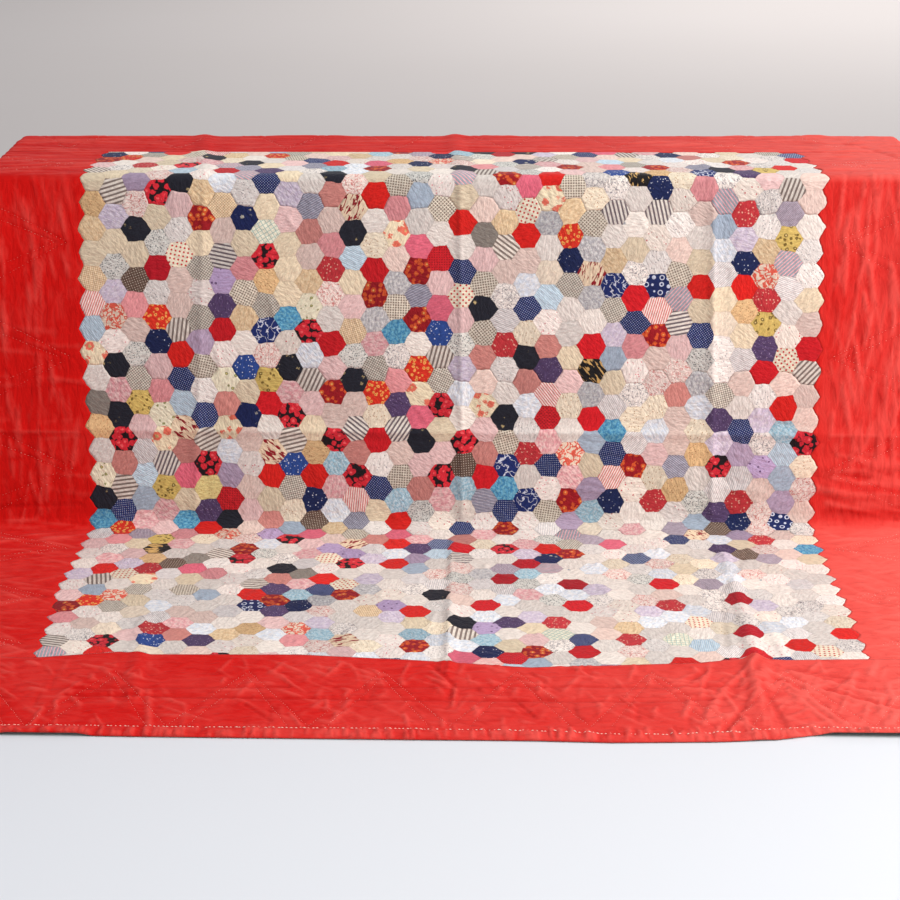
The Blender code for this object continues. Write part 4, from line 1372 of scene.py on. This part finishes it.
class QUILT_OT_table(bpy.types.Operator):
    """Give the table its pale wood"""
    bl_idname = "quilt.finish_table"
    bl_label = "Table finish"

    def execute(self, context):
        wood = context.scene.quilt_stage.wood
        finishes = {axis: self.pale_wood(axis, wood) for axis in "xyz"}
        for name in TABLE_NODES:
            low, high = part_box(name)
            size = high - low
            axis = "xyz"[max(range(3), key=lambda index: size[index])]
            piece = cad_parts[name]
            piece.data.materials.clear()
            piece.data.materials.append(finishes[axis])
        return {"FINISHED"}

    def pale_wood(self, axis, wood):
        """Pale wood with its grain along one axis."""
        made, tree, shader = material("pale_wood_" + axis, 0.5, 0.0)
        source = node(tree, "ShaderNodeTexCoord").outputs["Object"]
        scale = [26.0, 26.0, 26.0]
        scale["xyz".index(axis)] = 1.6
        place = node(tree, "ShaderNodeMapping", {"Vector": source, "Scale": scale}).outputs[0]
        rings = noise(tree, place, 1.0, 5.0, 0.6, 0.8)
        pores = noise(tree, place, 9.0, 2.0)
        deep = [value * 0.62 for value in wood] + [1.0]
        face = mix(tree, cut(tree, rings, 0.35, 0.68), [*wood, 1.0], deep)
        face = mix(tree, math_node(tree, "MULTIPLY", cut(tree, pores, 0.58, 0.70), 0.35), face,
                   [value * 0.4 for value in wood] + [1.0])
        tree.links.new(face, shader.inputs["Base Color"])
        bump = node(tree, "ShaderNodeBump", {"Strength": 0.3, "Distance": 0.0006,
                                             "Height": rings})
        tree.links.new(bump.outputs[0], shader.inputs["Normal"])
        return made


class QUILT_OT_stage(bpy.types.Operator):
    """Set the floor, the light and the camera"""
    bl_idname = "quilt.set_stage"
    bl_label = "Stage"

    def execute(self, context):
        scene = context.scene
        stage = scene.quilt_stage
        self.make_floor(stage)
        for name, place, target, size, tint in LIGHTS:
            data = bpy.data.lights.new(name + "_light", "AREA")
            data.shape = "DISK"
            data.size = size
            data.energy = getattr(stage, name + "_power")
            data.color = tint
            lamp = bpy.data.objects.new(data.name, data)
            lamp.location = place
            way = Vector(target) - Vector(place)
            lamp.rotation_euler = way.to_track_quat("-Z", "Y").to_euler()
            scene.collection.objects.link(lamp)
        scene.world = bpy.data.worlds.new("room")
        scene.world.use_nodes = True
        background = scene.world.node_tree.nodes["Background"]
        background.inputs["Color"].default_value = colour((238, 240, 246))
        background.inputs["Strength"].default_value = stage.sky
        scene.view_settings.view_transform = "Standard"
        data = bpy.data.cameras.new("camera")
        data.lens = stage.lens
        data.sensor_width = 36.0
        data.clip_end = 200.0
        camera = bpy.data.objects.new("camera", data)
        camera.location = stage.camera_place
        camera.rotation_euler = (math.pi / 2 - stage.camera_pitch, 0.0, CAMERA_TURN)
        scene.collection.objects.link(camera)
        scene.camera = camera
        return {"FINISHED"}

    def make_floor(self, stage):
        """A plain pale floor that turns greyer behind the table."""
        made, tree, shader = material("pale_floor", 0.75, 0.0)
        source = node(tree, "ShaderNodeTexCoord").outputs["Object"]
        parts = node(tree, "ShaderNodeSeparateXYZ", {0: source})
        far = cut(tree, parts.outputs["Y"], 0.9, 3.2)
        face = mix(tree, far, [*stage.floor, 1.0], [*stage.far_floor, 1.0])
        cloudy = math_node(tree, "MULTIPLY", noise(tree, source, 0.35, 3.0), 0.10)
        face = mix(tree, cloudy, face, colour((236, 236, 240)))
        tree.links.new(face, shader.inputs["Base Color"])
        points = np.array([(x, y, 0.0) for x, y in ((-1, -1), (1, -1), (1, 1), (-1, 1))])
        points = points * FLOOR_HALF + (0.0, 0.0, FLOOR_DROP)
        faces = np.array(((0, 1, 2), (0, 2, 3)))
        shaded_mesh("floor", points, faces, [made], np.zeros(2, int), {}, {}, {})


class QUILT_PT_maker(bpy.types.Panel):
    """Lists the quilt's pieces and settings"""
    bl_label = "Quilt"
    bl_idname = "QUILT_PT_maker"
    bl_space_type = "VIEW_3D"
    bl_region_type = "UI"
    bl_category = "Quilt"

    def draw(self, context):
        column = self.layout.column()
        for made in PIECES:
            column.operator(made.bl_idname)
        for settings in (context.scene.quilt, context.scene.quilt_stage):
            column.separator()
            for name in settings.__annotations__:
                column.prop(settings, name)


PIECES = (QUILT_OT_patchwork, QUILT_OT_borders, QUILT_OT_stitching, QUILT_OT_table,
          QUILT_OT_stage)
CLASSES = (QuiltSettings, StageSettings, *PIECES, QUILT_PT_maker)


def register():
    """Make the settings, the operators and the panel known to Blender."""
    for made in CLASSES:
        bpy.utils.register_class(made)
    bpy.types.Scene.quilt = bpy.props.PointerProperty(type=QuiltSettings)
    bpy.types.Scene.quilt_stage = bpy.props.PointerProperty(type=StageSettings)


def unregister():
    """Take them away again."""
    del bpy.types.Scene.quilt_stage
    del bpy.types.Scene.quilt
    for made in reversed(CLASSES):
        bpy.utils.unregister_class(made)


def main():
    """Make every piece in turn."""
    register()
    bpy.ops.quilt.make_patchwork()
    bpy.ops.quilt.make_borders()
    bpy.ops.quilt.sew_border()
    bpy.ops.quilt.finish_table()
    bpy.ops.quilt.set_stage()


if __name__ == "__main__":
    main()
